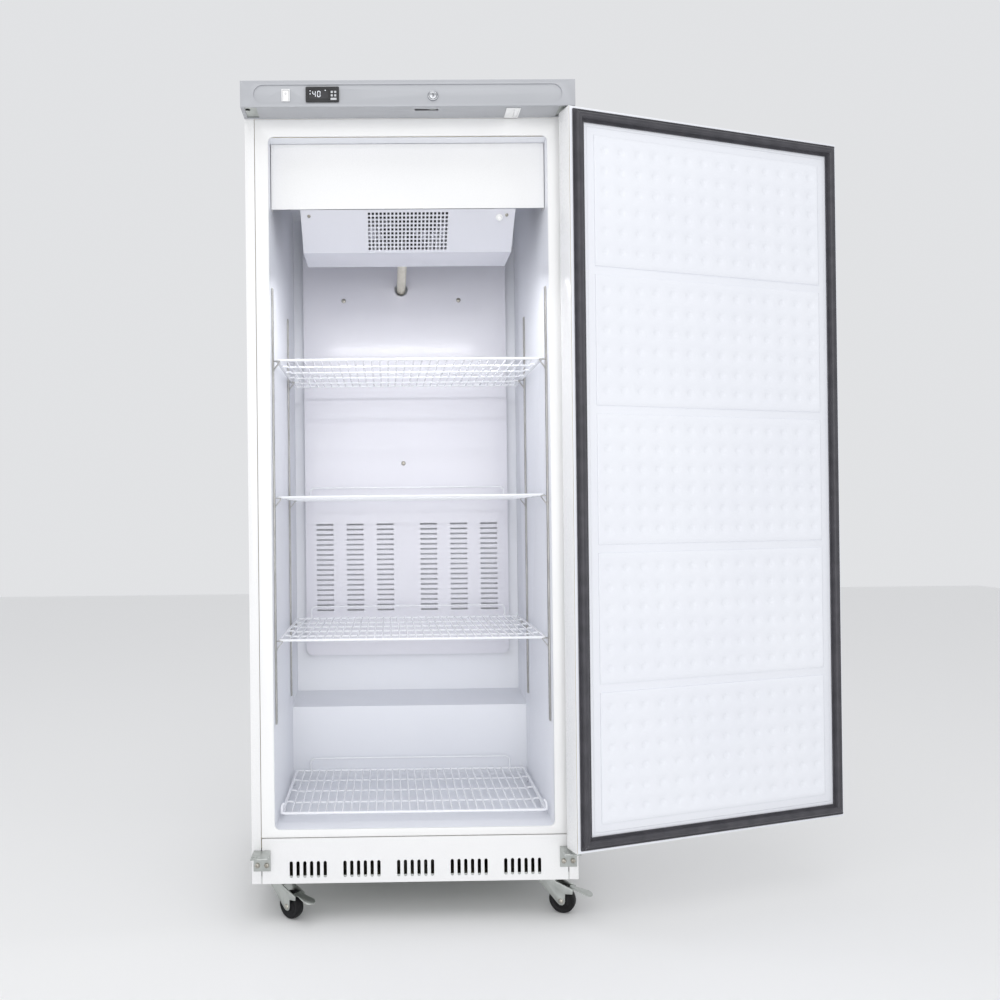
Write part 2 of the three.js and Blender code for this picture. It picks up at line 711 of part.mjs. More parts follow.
function fanShroud() {
  const s = evaporator.shroud;
  const body = cut(
    prismX(shroudSide(0), -s.halfWidth, s.halfWidth),
    prismX(shroudSide(sheet), -s.halfWidth + sheet, s.halfWidth - sheet),
  );
  const { width, height, bars } = evaporator.window;
  const pitch = width / bars;
  const slots = [];
  for (let i = 0; i < bars; i += 1) {
    const x = -width / 2 + (i + 0.5) * pitch;
    const slot = boxOf(x - pitch / 2 + 2, x + pitch / 2 - 2, -through, through, -height / 2, height / 2);
    slots.push(onSlope(slot, 0));
  }
  const { drain } = evaporator;
  const outlet = rodY(drain.radius + gap, drain.x, s.back - through, s.back + through, drain.startZ);
  return cut(body, ...slots, outlet);
}

// A block of upright fins held together by a core of tubes.
function finBlock(x0, x1, y0, y1, z0, z1, fins, core) {
  const pitch = (x1 - x0) / fins;
  const y = (y0 + y1) / 2;
  const z = (z0 + z1) / 2;
  const pieces = [boxOf(x0, x1, y - core, y + core, z - 2 * core, z + 2 * core)];
  for (let i = 0; i < fins; i += 1) {
    const x = x0 + (i + 0.5) * pitch;
    pieces.push(boxOf(x - pitch / 5, x + pitch / 5, y0, y1, z0, z1));
  }
  return join(...pieces);
}

function evaporatorCoil() {
  const c = evaporator.coil;
  return finBlock(-c.halfWidth, c.halfWidth, c.front, c.back, c.bottom, c.top, c.fins, c.core);
}

// An axial fan about the local +Y axis: pitched blades joined into a hub with a shaft hole.
function fanBlades({ radius, blades, hub, pitch }) {
  const pieces = [rodY(hub, 0, -7, 7, 0, 20)];
  const root = hub * 0.7;
  const blade = new THREE.Shape();
  blade.moveTo(root, -7);
  blade.lineTo(radius * 0.6, -radius * 0.28);
  blade.absarc(0, 0, radius, -0.42, 0.3, false);
  blade.lineTo(radius * 0.6, radius * 0.24);
  blade.lineTo(root, 7);
  blade.closePath();
  for (let i = 0; i < blades; i += 1) {
    const leaf = prismY(blade, -1, 1, 3).rotateX(THREE.MathUtils.degToRad(pitch));
    pieces.push(leaf.rotateY((i * 2 * Math.PI) / blades));
  }
  const bladesAndHub = join(...pieces);
  return cut(bladesAndHub, rodY(3.4, 0, -8, 20, 0, 12));
}

// A motor about the local +Y axis with its shaft pointing to -Y through the fan's hub.
function fanMotor({ motorRadius, motorLength }, clear) {
  const can = rodY(motorRadius, 0, clear, clear + motorLength, 0, 20);
  const shaft = rodY(3, 0, -5, clear + 2, 0, 12);
  return join(can, shaft);
}

function evaporatorMotor() {
  const motor = fanMotor(evaporator.fan, 10);
  const strap = boxOf(-evaporator.shroud.halfWidth + 30, evaporator.shroud.halfWidth - 30, 50, 53, -9, 9);
  return onSlope(join(motor, strap), evaporator.fan.setBack);
}

function drainPipe() {
  const { drain, shroud } = evaporator;
  const start = shroud.back - 3;
  const end = duct.front + 14;
  const route = new THREE.CatmullRomCurve3([
    new THREE.Vector3(drain.x, start, drain.startZ),
    new THREE.Vector3(drain.x, start + 60, drain.startZ - 1),
    new THREE.Vector3(drain.x, end - 100, drain.endZ + 4),
    new THREE.Vector3(drain.x, end, drain.endZ),
  ]);
  const ring = (radius, Kind) => {
    const path = new Kind();
    path.absarc(0, 0, radius, 0, 2 * Math.PI, false);
    return path;
  };
  const section = ring(drain.radius, THREE.Shape);
  section.holes.push(ring(drain.bore, THREE.Path));
  return new THREE.ExtrudeGeometry(section, { steps: 6, curveSegments: 6, extrudePath: route });
}

function ductPanel() {
  const { slot, halfWidth: w } = duct;
  const { drain } = evaporator;
  const pan = cut(
    boxOf(-w, w, duct.front, duct.front + duct.returnDepth, duct.bottom, duct.top),
    boxOf(
      -w + sheet, w - sheet, duct.front + sheet, duct.front + 2 * duct.returnDepth,
      duct.bottom + sheet, duct.top - sheet,
    ),
  );
  const y0 = duct.front - through;
  const y1 = duct.front + through;
  const tools = [rodY(drain.holeRadius, drain.x, y0, y1, drain.endZ)];
  for (const x of slot.columns) {
    for (let row = 0; row < slot.rows; row += 1) {
      const z = slot.top - row * slot.pitch;
      tools.push(boxOf(
        x - slot.width / 2, x + slot.width / 2, y0, y1, z - slot.height / 2, z + slot.height / 2,
      ));
    }
  }
  return cut(pan, ...tools);
}

// A slotted channel on a side wall with a hooked clip standing out under each adjustable shelf.
function pilasterStrip(side, y) {
  const wall = opening.halfWidth - gap;
  const x0 = wall - pilaster.depth;
  const half = pilaster.width / 2;
  const pieces = [boxOf(x0, wall, y - half, y + half, pilaster.bottom, pilaster.top)];
  for (const level of shelf.levels) {
    const top = level - shelf.wire - gap;
    const hook = outline([
      [x0 + 1, top], [x0 - clip.reach, top], [x0 - clip.reach, top - clip.thickness],
      [x0 - clip.thickness, top - clip.height], [x0 + 1, top - clip.height],
    ]);
    pieces.push(prismY(hook, y - clip.width / 2, y + clip.width / 2));
  }
  const strip = join(...pieces);
  return side > 0 ? strip : strip.rotateZ(Math.PI).translate(0, 2 * y, 0);
}

// A rack of long wires between a front and a back rim, with a guard wire standing up at the back.
function wireShelf(front, back, level, foot) {
  const w = shelf.halfWidth;
  const pitch = (2 * w - shelf.wire) / shelf.openings;
  const gaps = [];
  for (let i = 0; i < shelf.openings; i += 1) {
    const x0 = -w + shelf.wire + i * pitch;
    const x1 = x0 + pitch - shelf.wire;
    gaps.push(boxOf(
      x0, x1, front + shelf.rim, back - shelf.rim, level - 2 * shelf.wire, level + shelf.wire,
    ));
  }
  const { halfWidth: g, height } = shelf.guard;
  const rise = roundRectangle(-g, g, level - 2, level + height, 12);
  rise.holes.push(roundRectangle(
    -g + shelf.wire, g - shelf.wire, level - 1, level + height - shelf.wire, 8, THREE.Path,
  ));
  const pieces = [
    cut(boxOf(-w, w, front, back, level - shelf.wire, level), ...gaps),
    prismY(rise, back - shelf.wire, back, 1),
  ];
  if (foot > 0) {
    for (const x of [-w, w - shelf.wire]) {
      for (const y of [front + 60, back - 60]) {
        pieces.push(boxOf(x, x + shelf.wire, y, y + shelf.wire, level - foot, level - 1));
      }
    }
  }
  return join(...pieces);
}

// ---------------------------------------------------------------- refrigeration

function compressorPot() {
  const c = compressor;
  const profile = [
    [0, c.bottom], [c.radius * 0.75, c.bottom], [c.radius, c.bottom + 24], [c.radius, c.shoulder],
    [c.radius + 4, c.shoulder + 2], [c.radius + 4, c.shoulder + 8], [c.radius, c.shoulder + 10],
    [c.radius * 0.96, c.top - 40], [c.radius * 0.6, c.top - 8], [0, c.top],
  ].map(([r, z]) => new THREE.Vector2(r, z));
  const pot = new THREE.LatheGeometry(profile, 24).rotateX(Math.PI / 2).translate(c.x, c.y, 0);
  const base = cabinet.bottom + tray.thickness + gap;
  const foot = boxOf(
    c.x - c.foot - 20, c.x + c.foot + 20, c.y - c.foot + 26, c.y + c.foot - 26, base + 8, base + 11,
  );
  const pieces = [pot, foot, rodZ(c.radius * 0.5, c.x, c.y, base + 9, c.bottom + 2)];
  for (const dx of [-c.foot, c.foot]) {
    for (const dy of [-44, 44]) {
      pieces.push(rodZ(9, c.x + dx, c.y + dy, base, base + 10, 12));
    }
  }
  return join(...pieces);
}

function condenserBlock() {
  const c = condenser;
  return finBlock(c.left, c.right, c.front, c.back, c.bottom, c.top, c.fins, c.core);
}

const condenserMiddle = {
  x: (condenser.left + condenser.right) / 2,
  z: (condenser.bottom + condenser.top) / 2,
};

function condenserMotor() {
  const base = cabinet.bottom + tray.thickness + gap;
  const motor = fanMotor(condenser.fan, 10);
  const post = boxOf(
    -8, 8, 26, 29, base - condenserMiddle.z, -condenser.fan.motorRadius + 6,
  );
  const foot = boxOf(-30, 30, 20, 60, base - condenserMiddle.z, base - condenserMiddle.z + 2);
  return join(motor, post, foot).translate(condenserMiddle.x, condenser.fan.y, condenserMiddle.z);
}

function evaporationPan() {
  const d = dripTray;
  return cut(
    boxOf(d.left, d.right, d.front, d.back, d.bottom, d.top),
    boxOf(d.left + d.wall, d.right - d.wall, d.front + d.wall, d.back - d.wall, d.bottom + d.wall, d.top + 1),
  );
}

// ---------------------------------------------------------------- casters, drawn trailing to +X

function casterFork() {
  const { trail, armInside, armThickness, topPlate, axleRadius, fork } = caster;
  const axle = caster.wheelRadius;
  const crown = topPlate + fork.thickness;
  const lobe = fork.elbow / 2;
  const arm = new THREE.Shape();
  arm.moveTo(fork.back, crown);
  arm.lineTo(fork.back, topPlate - fork.lip);
  arm.absarc(trail, axle, fork.tip, Math.PI * 1.2, Math.PI * 2, false);
  arm.lineTo(trail + fork.tip, pedal.pivotZ - lobe - 2);
  arm.lineTo(pedal.pivotX + lobe - 1, pedal.pivotZ - lobe);
  arm.lineTo(pedal.pivotX + lobe, pedal.pivotZ + lobe / 2);
  arm.lineTo(fork.crownFront, topPlate);
  arm.lineTo(fork.crownFront - 2, crown);
  arm.closePath();
  const outer = armInside + armThickness;
  return join(
    prismY(arm, armInside, outer, 2),
    prismY(arm, -outer, -armInside, 2),
    boxOf(fork.back, fork.crownFront - 2, -outer, outer, topPlate, crown),
    rodZ(caster.raceRadius, 0, 0, topPlate + 1, caster.raceTop),
    rodY(axleRadius, trail, -outer - fork.thickness, outer + fork.thickness, axle, 12),
  );
}

function casterWheel() {
  const r = caster.wheelRadius;
  const w = caster.wheelWidth / 2;
  const bore = caster.boreRadius;
  const boss = w + 1.5;
  const chamfer = 3;
  const profile = [
    [bore, -boss], [r / 3, -boss], [r - chamfer, -w], [r, -w + chamfer],
    [r, w - chamfer], [r - chamfer, w], [r / 3, boss], [bore, boss], [bore, -boss],
  ].map(([radius, y]) => new THREE.Vector2(radius, y));
  return new THREE.LatheGeometry(profile, 24).translate(caster.trail, 0, r);
}

// The brake pedal: a leaf behind the fork, waisted where it passes between the fork's two arms.
function brakePedal() {
  const { pivotX, pivotZ, length, width, thickness, drop, strapBack, kink, taper } = pedal;
  const back = pivotX - strapBack;
  const top = pivotZ + 2 * thickness;
  const side = outline([
    [back, top], [back, top - thickness], [pivotX + kink, pivotZ], [pivotX + length, pivotZ - drop],
    [pivotX + length, pivotZ - drop + thickness], [pivotX + kink + 2, pivotZ + thickness],
    [pivotX, top],
  ]);
  const half = width / 2;
  const waist = caster.armInside - 1;
  const leaf = new THREE.Shape();
  leaf.moveTo(back - 1, -waist);
  leaf.lineTo(pivotX + kink, taper - waist);
  leaf.absarc(pivotX + length - half, 0, half, -Math.PI * 0.42, Math.PI * 0.42, false);
  leaf.lineTo(pivotX + kink, waist - taper);
  leaf.lineTo(back - 1, waist);
  leaf.closePath();
  const plan = prismZ(leaf, pivotZ - length, pivotZ + length, 6);
  return geometryOf(solidOf(prismY(side, -half, half)).intersect(solidOf(plan)));
}

// ---------------------------------------------------------------- assembly

const fridge = new THREE.Group();

function buildCabinet() {
  place(fridge, 'outer_case', outerCase(), whiteEnamel);
  place(fridge, 'foam_insulation', foamBody(), foamCream);
  place(fridge, 'inner_liner', innerLiner(), linerPlastic);
  place(fridge, 'breaker_frame', breakerFrame(), whitePlastic);
  place(fridge, 'base_tray', baseTray(), zincPlate);
  place(fridge, 'kick_grille', kickGrille(), whiteEnamel);
  place(fridge, 'rear_grille', rearGrille(), whiteEnamel);
  place(fridge, 'power_cord_gland', cordGland(), blackPlastic);
}

function buildHeader() {
  place(fridge, 'header_shell', headerShell(), headerGrey);
  place(fridge, 'rocker_bezel', rockerBezel(), whitePlastic);
  place(fridge, 'power_rocker', rockerKey(), whitePlastic);
  place(fridge, 'controller_body', controllerBody(), blackPlastic);
  controllerButtonSpots().forEach((spot, i) => {
    place(fridge, `controller_button_${i + 1}`, controllerButton(spot), blackPlastic);
  });
  place(fridge, 'lock_barrel', lockBarrel(), chromePlate);
  place(fridge, 'lock_bolt', lockBolt(), zincPlate);
  place(fridge, 'door_switch_housing', doorSwitchHousing(), whitePlastic);
  place(fridge, 'door_switch_plunger', doorSwitchPlunger(), whitePlastic);
}

function buildHinges() {
  place(fridge, 'upper_hinge', upperHinge(1, true), zincPlate);
  place(fridge, 'spare_upper_hinge', upperHinge(-1, false), zincPlate);
  place(fridge, 'lower_hinge', lowerHinge(1, true), zincPlate);
  place(fridge, 'spare_lower_hinge', lowerHinge(-1, false), zincPlate);
}

function buildDoor() {
  const swing = new THREE.Group();
  swing.position.set(door.pivotX, door.pivotY, 0);
  swing.rotation.z = THREE.MathUtils.degToRad(door.openAngle);
  const leaf = new THREE.Group();
  leaf.position.set(-door.pivotX, -door.pivotY, 0);
  swing.add(leaf);
  fridge.add(swing);
  place(leaf, 'door_skin', doorSkin(), whiteEnamel);
  place(leaf, 'door_foam', doorFoam(), foamCream);
  place(leaf, 'door_liner', doorLinerPanel(), linerPlastic);
  place(leaf, 'door_gasket', doorGasket(), gasketGrey);
  place(leaf, 'door_handle', doorHandle(), whitePlastic);
}

function buildCompartment() {
  place(fridge, 'evaporator_front_panel', evaporatorFrontPanel(), whiteEnamel);
  place(fridge, 'fan_shroud', fanShroud(), whiteEnamel);
  place(fridge, 'evaporator_coil', evaporatorCoil(), aluminiumFin);
  place(fridge, 'evaporator_fan_motor', evaporatorMotor(), blackPlastic);
  place(fridge, 'evaporator_fan', onSlope(fanBlades(evaporator.fan), evaporator.fan.setBack), blackPlastic);
  place(fridge, 'drain_pipe', drainPipe(), creamPvc);
  place(fridge, 'duct_panel', ductPanel(), whiteEnamel);
  place(fridge, 'pilaster_front_left', pilasterStrip(-1, pilaster.frontY), aluminiumFin);
  place(fridge, 'pilaster_front_right', pilasterStrip(1, pilaster.frontY), aluminiumFin);
  place(fridge, 'pilaster_rear_left', pilasterStrip(-1, pilaster.rearY), aluminiumFin);
  place(fridge, 'pilaster_rear_right', pilasterStrip(1, pilaster.rearY), aluminiumFin);
  shelf.levels.forEach((level, i) => {
    place(fridge, `shelf_${i + 1}`, wireShelf(shelf.front, shelf.back, level, 0), wireCoat);
  });
  const { low } = shelf;
  place(fridge, 'shelf_4', wireShelf(low.front, low.back, low.level, low.foot), wireCoat);
}

function buildRefrigeration() {
  place(fridge, 'compressor', compressorPot(), blackEnamel);
  place(fridge, 'condenser', condenserBlock(), blackEnamel);
  place(fridge, 'condenser_fan_motor', condenserMotor(), blackEnamel);
  const blades = fanBlades(condenser.fan);
  blades.translate(condenserMiddle.x, condenser.fan.y, condenserMiddle.z);
  place(fridge, 'condenser_fan', blades, aluminiumFin);
  place(fridge, 'evaporation_pan', evaporationPan(), blackPlastic);
}

function buildCasters() {
  for (const [corner, angle] of Object.entries(caster.trailAngles)) {
    const [end, side] = corner.split('_');
    const swivel = new THREE.Group();
    const x = side === 'left' ? -caster.x : caster.x;
    const y = end === 'front' ? caster.frontY : caster.rearY;
    swivel.position.set(x, y, 0);
    swivel.rotation.z = THREE.MathUtils.degToRad(angle);
    fridge.add(swivel);
    place(swivel, `caster_fork_${corner}`, casterFork(), zincPlate);
    place(swivel, `caster_wheel_${corner}`, casterWheel(), wheelBlack);
    if (end === 'front') place(swivel, `brake_pedal_${corner}`, brakePedal(), zincPlate);
  }
}

buildCabinet();
buildHeader();
buildHinges();
buildDoor();
buildCompartment();
buildRefrigeration();
buildCasters();

fridge.updateMatrixWorld(true);
const extent = new THREE.Box3().setFromObject(fridge, true);
const middle = extent.getCenter(new THREE.Vector3());
fridge.position.set(-middle.x, -middle.y, -extent.min.z);

export default fridge;
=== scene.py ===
import json
import math

import bpy
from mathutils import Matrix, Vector


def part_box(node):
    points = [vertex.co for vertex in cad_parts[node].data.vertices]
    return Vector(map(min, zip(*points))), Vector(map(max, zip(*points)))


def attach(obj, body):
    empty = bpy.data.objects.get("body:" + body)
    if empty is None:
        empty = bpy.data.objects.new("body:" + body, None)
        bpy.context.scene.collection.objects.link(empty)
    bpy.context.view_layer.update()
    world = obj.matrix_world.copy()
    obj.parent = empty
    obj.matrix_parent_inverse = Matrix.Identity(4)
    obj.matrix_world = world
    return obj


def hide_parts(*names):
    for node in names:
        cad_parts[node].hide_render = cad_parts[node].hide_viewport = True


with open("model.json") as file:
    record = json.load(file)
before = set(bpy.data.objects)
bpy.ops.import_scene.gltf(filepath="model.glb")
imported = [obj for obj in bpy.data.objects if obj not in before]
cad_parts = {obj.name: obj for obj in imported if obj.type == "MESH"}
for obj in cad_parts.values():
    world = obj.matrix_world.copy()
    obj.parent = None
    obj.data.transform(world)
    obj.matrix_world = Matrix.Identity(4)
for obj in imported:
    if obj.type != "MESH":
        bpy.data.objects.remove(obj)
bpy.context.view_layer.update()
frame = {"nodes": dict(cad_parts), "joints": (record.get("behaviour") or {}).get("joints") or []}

# ------------------------------------------------------------------ camera, floor and light
# A camera at chest height, square to the cabinet and set a little to its left, standing back
# far enough to take in the whole height. A pale studio floor, soft boxes in front, above and at
# the left, and a small soft lamp inside the mouth that lifts the white interior.

bpy.ops.object.select_all(action="DESELECT")
case_low, case_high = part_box("outer_case")
middle_x = (case_low.x + case_high.x) / 2
face_y = case_low.y

bpy.ops.object.camera_add(
    location=(middle_x - 0.0594, face_y - 2.1934, 0.9616),
    rotation=(math.radians(90.277), math.radians(0.619), math.radians(-0.704)),
)
camera = bpy.context.object
camera.data.sensor_width = 36
camera.data.lens = 33.16
camera.data.shift_x = 0.1018
camera.data.shift_y = 0.0108
camera.data.clip_end = 50
bpy.context.scene.camera = camera

bpy.ops.mesh.primitive_plane_add(size=14, location=(0, 2, 0))
floor = bpy.context.object
floor.name = "studio_floor"

floor_paint = bpy.data.materials.new("studio floor paint")
floor_paint.use_nodes = True
floor_paint.node_tree.nodes["Principled BSDF"].inputs["Base Color"].default_value = (0.88, 0.88, 0.88, 1)
floor_paint.node_tree.nodes["Principled BSDF"].inputs["Roughness"].default_value = 0.7
floor.data.materials.append(floor_paint)

sky = bpy.data.worlds.new("studio")
bpy.context.scene.world = sky
sky.use_nodes = True
sky.node_tree.nodes["Background"].inputs["Color"].default_value = (0.97, 0.98, 1, 1)
sky.node_tree.nodes["Background"].inputs["Strength"].default_value = 0.78
bpy.context.scene.view_settings.view_transform = "Standard"


def soft_box(name, place, aim, size, power):
    bpy.ops.object.light_add(type="AREA", location=place)
    lamp = bpy.context.object
    lamp.name = name
    lamp.data.shape = "RECTANGLE"
    lamp.data.size = size[0]
    lamp.data.size_y = size[1]
    lamp.data.energy = power
    lamp.rotation_euler = (Vector(aim) - Vector(place)).to_track_quat("-Z", "Y").to_euler()
    lamp.visible_camera = False


soft_box("front_box", (-0.4, -4.2, 2.2), (-0.35, 0, 1.0), (3.2, 2.6), 28)
soft_box("top_box", (0, -1.2, 4.2), (0, 0, 0.8), (3.5, 3.0), 22)
soft_box("fill_box", (-0.4, -3.6, 0.9), (-0.35, 0, 0.9), (1.6, 1.2), 13)
soft_box(
    "inner_lamp", (middle_x, face_y + 0.045, 1.55), (middle_x, face_y + 0.3, 0.6), (0.5, 0.04), 1.2,
)
soft_box("left_box", (-3.6, -1.6, 1.6), (-0.3, 0, 1.0), (2.0, 2.4), 8)


# ------------------------------------------------------------------ outer case
# The cabinet's wrapper: sheet steel folded round the sides, roof and back, with narrow returns
# at the front. It is baked white enamel, with the faint orange peel that sprayed paint has.

def finish(name, light, dark, patch, gloss, grain, relief, metal=0.0, coat=0.0):
    """Two near tones in soft clouds, with a fine grain that also varies the gloss."""
    material = bpy.data.materials.new(name)
    material.use_nodes = True
    nodes = material.node_tree.nodes
    links = material.node_tree.links
    shader = nodes["Principled BSDF"]
    shader.inputs["Metallic"].default_value = metal
    shader.inputs["Coat Weight"].default_value = coat
    shader.inputs["Coat Roughness"].default_value = 0.12
    place = nodes.new("ShaderNodeTexCoord")
    clouds = nodes.new("ShaderNodeTexNoise")
    clouds.inputs["Scale"].default_value = 1 / patch
    clouds.inputs["Detail"].default_value = 4
    tones = nodes.new("ShaderNodeValToRGB")
    tones.color_ramp.elements[0].position = 0.35
    tones.color_ramp.elements[0].color = (*dark, 1)
    tones.color_ramp.elements[1].position = 0.65
    tones.color_ramp.elements[1].color = (*light, 1)
    speck = nodes.new("ShaderNodeTexNoise")
    speck.inputs["Scale"].default_value = 1 / grain
    speck.inputs["Detail"].default_value = 2
    sheen = nodes.new("ShaderNodeMapRange")
    sheen.inputs["To Min"].default_value = gloss[0]
    sheen.inputs["To Max"].default_value = gloss[1]
    bump = nodes.new("ShaderNodeBump")
    bump.inputs["Strength"].default_value = relief[0]
    bump.inputs["Distance"].default_value = relief[1]
    links.new(place.outputs["Object"], clouds.inputs["Vector"])
    links.new(place.outputs["Object"], speck.inputs["Vector"])
    links.new(clouds.outputs["Fac"], tones.inputs["Fac"])
    links.new(tones.outputs["Color"], shader.inputs["Base Color"])
    links.new(speck.outputs["Fac"], sheen.inputs["Value"])
    links.new(sheen.outputs["Result"], shader.inputs["Roughness"])
    links.new(speck.outputs["Fac"], bump.inputs["Height"])
    links.new(bump.outputs["Normal"], shader.inputs["Normal"])
    return material


def coat(piece, material):
    piece.data.materials.clear()
    piece.data.materials.append(material)


def hold(piece):
    """Deselects everything else and takes one piece in hand."""
    bpy.ops.object.select_all(action="DESELECT")
    piece.select_set(True)
    bpy.context.view_layer.objects.active = piece


def set_in_place():
    bpy.ops.object.transform_apply(location=True, rotation=True, scale=True)


def add_step(piece, name, kind, **values):
    """One modifier on the piece in hand, applied at once."""
    step = piece.modifiers.new(name, kind)
    for key, value in values.items():
        setattr(step, key, value)
    bpy.ops.object.modifier_apply(modifier=step.name)


def settle(piece, body, material):
    """Fixes the place in the mesh, names the finish and sets the piece on its body."""
    hold(piece)
    set_in_place()
    bpy.ops.object.shade_smooth_by_angle(angle=math.radians(32))
    coat(piece, material)
    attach(piece, body)
    return piece


def eased(node, name, width, steps=2, angle=35):
    """A copy of a solid with its folds rounded. Width 0 keeps them sharp, as at punched holes."""
    piece = bpy.data.objects.new(name, frame["nodes"][node].data.copy())
    bpy.context.scene.collection.objects.link(piece)
    hold(piece)
    bpy.ops.object.mode_set(mode="EDIT")
    bpy.ops.mesh.select_all(action="SELECT")
    bpy.ops.mesh.remove_doubles(threshold=0.00002)
    bpy.ops.mesh.dissolve_limited(angle_limit=math.radians(1))
    bpy.ops.object.mode_set(mode="OBJECT")
    if width > 0:
        add_step(
            piece, "rounded edges", "BEVEL", width=width, segments=steps, limit_method="ANGLE",
            angle_limit=math.radians(angle), miter_outer="MITER_ARC",
        )
    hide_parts(node)
    return piece


white_enamel = finish(
    "white enamel", (0.875, 0.875, 0.875), (0.845, 0.845, 0.85), 0.5, (0.22, 0.34), 0.0016,
    (0.12, 0.0004), 0, 0.25,
)
case = eased("outer_case", "case_wrapper", 0.0016, 2)
settle(case, "cabinet", white_enamel)

# ------------------------------------------------------------------ insulation and liner
# Foam fills the walls between case and liner. The liner is one white tub, formed from warm
# plastic sheet over a mould, so its corners are round and it has a step at the back.

raw_foam = finish(
    "rigid foam", (0.86, 0.79, 0.60), (0.78, 0.70, 0.50), 0.02, (0.85, 0.95), 0.002, (0.5, 0.001),
)
coat(frame["nodes"]["foam_insulation"], raw_foam)

liner_plastic = finish(
    "liner plastic", (0.84, 0.855, 0.90), (0.815, 0.83, 0.88), 0.35, (0.2, 0.3), 0.004,
    (0.05, 0.0004),
)
liner = eased("inner_liner", "liner_tub", 0.003, 3, 50)
settle(liner, "cabinet", liner_plastic)

# ------------------------------------------------------------------ mouth frame
# A white plastic frame that joins the case to the liner and gives the door's seal a flat face.
# It snaps on round the mouth, and leaves a fine seam beside the folded edges of the case.

frame_plastic = finish(
    "frame plastic", (0.90, 0.90, 0.895), (0.87, 0.87, 0.87), 0.3, (0.28, 0.38), 0.003,
    (0.08, 0.0004),
)
mouth = eased("breaker_frame", "mouth_frame", 0.0012, 2, 50)
settle(mouth, "cabinet", frame_plastic)

# ------------------------------------------------------------------ base tray
# The zinc-plated steel floor of the machine room, folded up at its edges. The plates of the
# casters are bolted to its underside.


def zinc(name, light, dark, gloss):
    """Plated steel: pale grey with soft cloudy tones and fine drawn streaks."""
    material = finish(name, light, dark, 0.012, gloss, 0.0012, (0.15, 0.0003), 1.0)
    nodes = material.node_tree.nodes
    links = material.node_tree.links
    stretch = nodes.new("ShaderNodeMapping")
    stretch.inputs["Scale"].default_value = (1, 1, 0.25)
    links.new(nodes["Texture Coordinate"].outputs["Object"], stretch.inputs["Vector"])
    links.new(stretch.outputs["Vector"], nodes["Noise Texture"].inputs["Vector"])
    return material


zinc_plate = zinc("zinc plate", (0.53, 0.55, 0.53), (0.46, 0.48, 0.462), (0.26, 0.44))
tray = eased("base_tray", "machine_tray", 0.0006, 1)
settle(tray, "cabinet", zinc_plate)

# ------------------------------------------------------------------ kick grille and rear grille
# Enamelled steel covers of the machine room with punched slots for air. The front one is
# flanged back behind the mouth frame; the rear one is screwed on.

coat(frame["nodes"]["kick_grille"], white_enamel)
coat(frame["nodes"]["rear_grille"], white_enamel)

# ------------------------------------------------------------------ cord gland
# A black moulded bush with a collar, pushed through the rear cover where the power cord comes out.

black_plastic = finish(
    "black plastic", (0.022, 0.022, 0.024), (0.014, 0.014, 0.015), 0.05, (0.35, 0.5), 0.0008,
    (0.25, 0.0003),
)
gland = eased("power_cord_gland", "cord_bush", 0.0008, 2)
settle(gland, "cabinet", black_plastic)

# ------------------------------------------------------------------ screws
# Zinc pan-head screws with a cross recess. One is turned and cut, and every other one is a
# copy of it, set where covers, hinges and panels are held.

bright_zinc = zinc("bright screw zinc", (0.52, 0.50, 0.45), (0.36, 0.34, 0.30), (0.2, 0.36))


def turned(name, profile, steps=24):
    """A round piece turned about the Z axis from a profile of (radius, height) pairs."""
    bpy.ops.object.select_all(action="DESELECT")
    bpy.ops.mesh.primitive_plane_add(size=0.0001, location=(0, 0, 0))
    piece = bpy.context.object
    piece.name = name
    bpy.ops.object.mode_set(mode="EDIT")
    bpy.ops.mesh.select_mode(type="VERT")
    bpy.ops.mesh.merge(type="CENTER")
    at = Vector((profile[0][0], 0, profile[0][1]))
    bpy.ops.transform.translate(value=at)
    for radius, height in profile[1:]:
        to = Vector((radius, 0, height))
        bpy.ops.mesh.extrude_vertices_move(TRANSFORM_OT_translate={"value": to - at})
        at = to
    bpy.ops.mesh.select_all(action="SELECT")
    bpy.ops.mesh.spin(steps=steps, angle=2 * math.pi, center=(0, 0, 0), axis=(0, 0, 1))
    bpy.ops.mesh.select_all(action="SELECT")
    bpy.ops.mesh.remove_doubles(threshold=0.00001)
    bpy.ops.mesh.normals_make_consistent(inside=False)
    bpy.ops.object.mode_set(mode="OBJECT")
    return piece


def block(name, low, high):
    """A plain block between two corners, to be shaped further or used as a cutter."""
    bpy.ops.object.select_all(action="DESELECT")
    low = Vector(low)
    high = Vector(high)
    bpy.ops.mesh.primitive_cube_add(size=1, location=(low + high) / 2, scale=high - low)
    piece = bpy.context.object
    piece.name = name
    set_in_place()
    return piece


def carve(piece, cutter):
    """Cuts one shape out of another and throws the cutter away."""
    hold(piece)
    add_step(piece, "carve", "BOOLEAN", operation="DIFFERENCE", object=cutter)
    bpy.data.objects.remove(cutter)
    return piece


def twin(piece, name, place, direction=(0, 0, 1), turn=0.0):
    """A copy with its own mesh, its Z axis laid along a direction at a place."""
    other = bpy.data.objects.new(name, piece.data.copy())
    bpy.context.scene.collection.objects.link(other)
    other.rotation_mode = "QUATERNION"
    spin = Vector((0, 0, 1)).rotation_difference(Vector(direction))
    other.rotation_quaternion = spin @ Vector((1, 0, 0)).rotation_difference(
        Vector((math.cos(turn), math.sin(turn), 0))
    )
    other.location = place
    return other


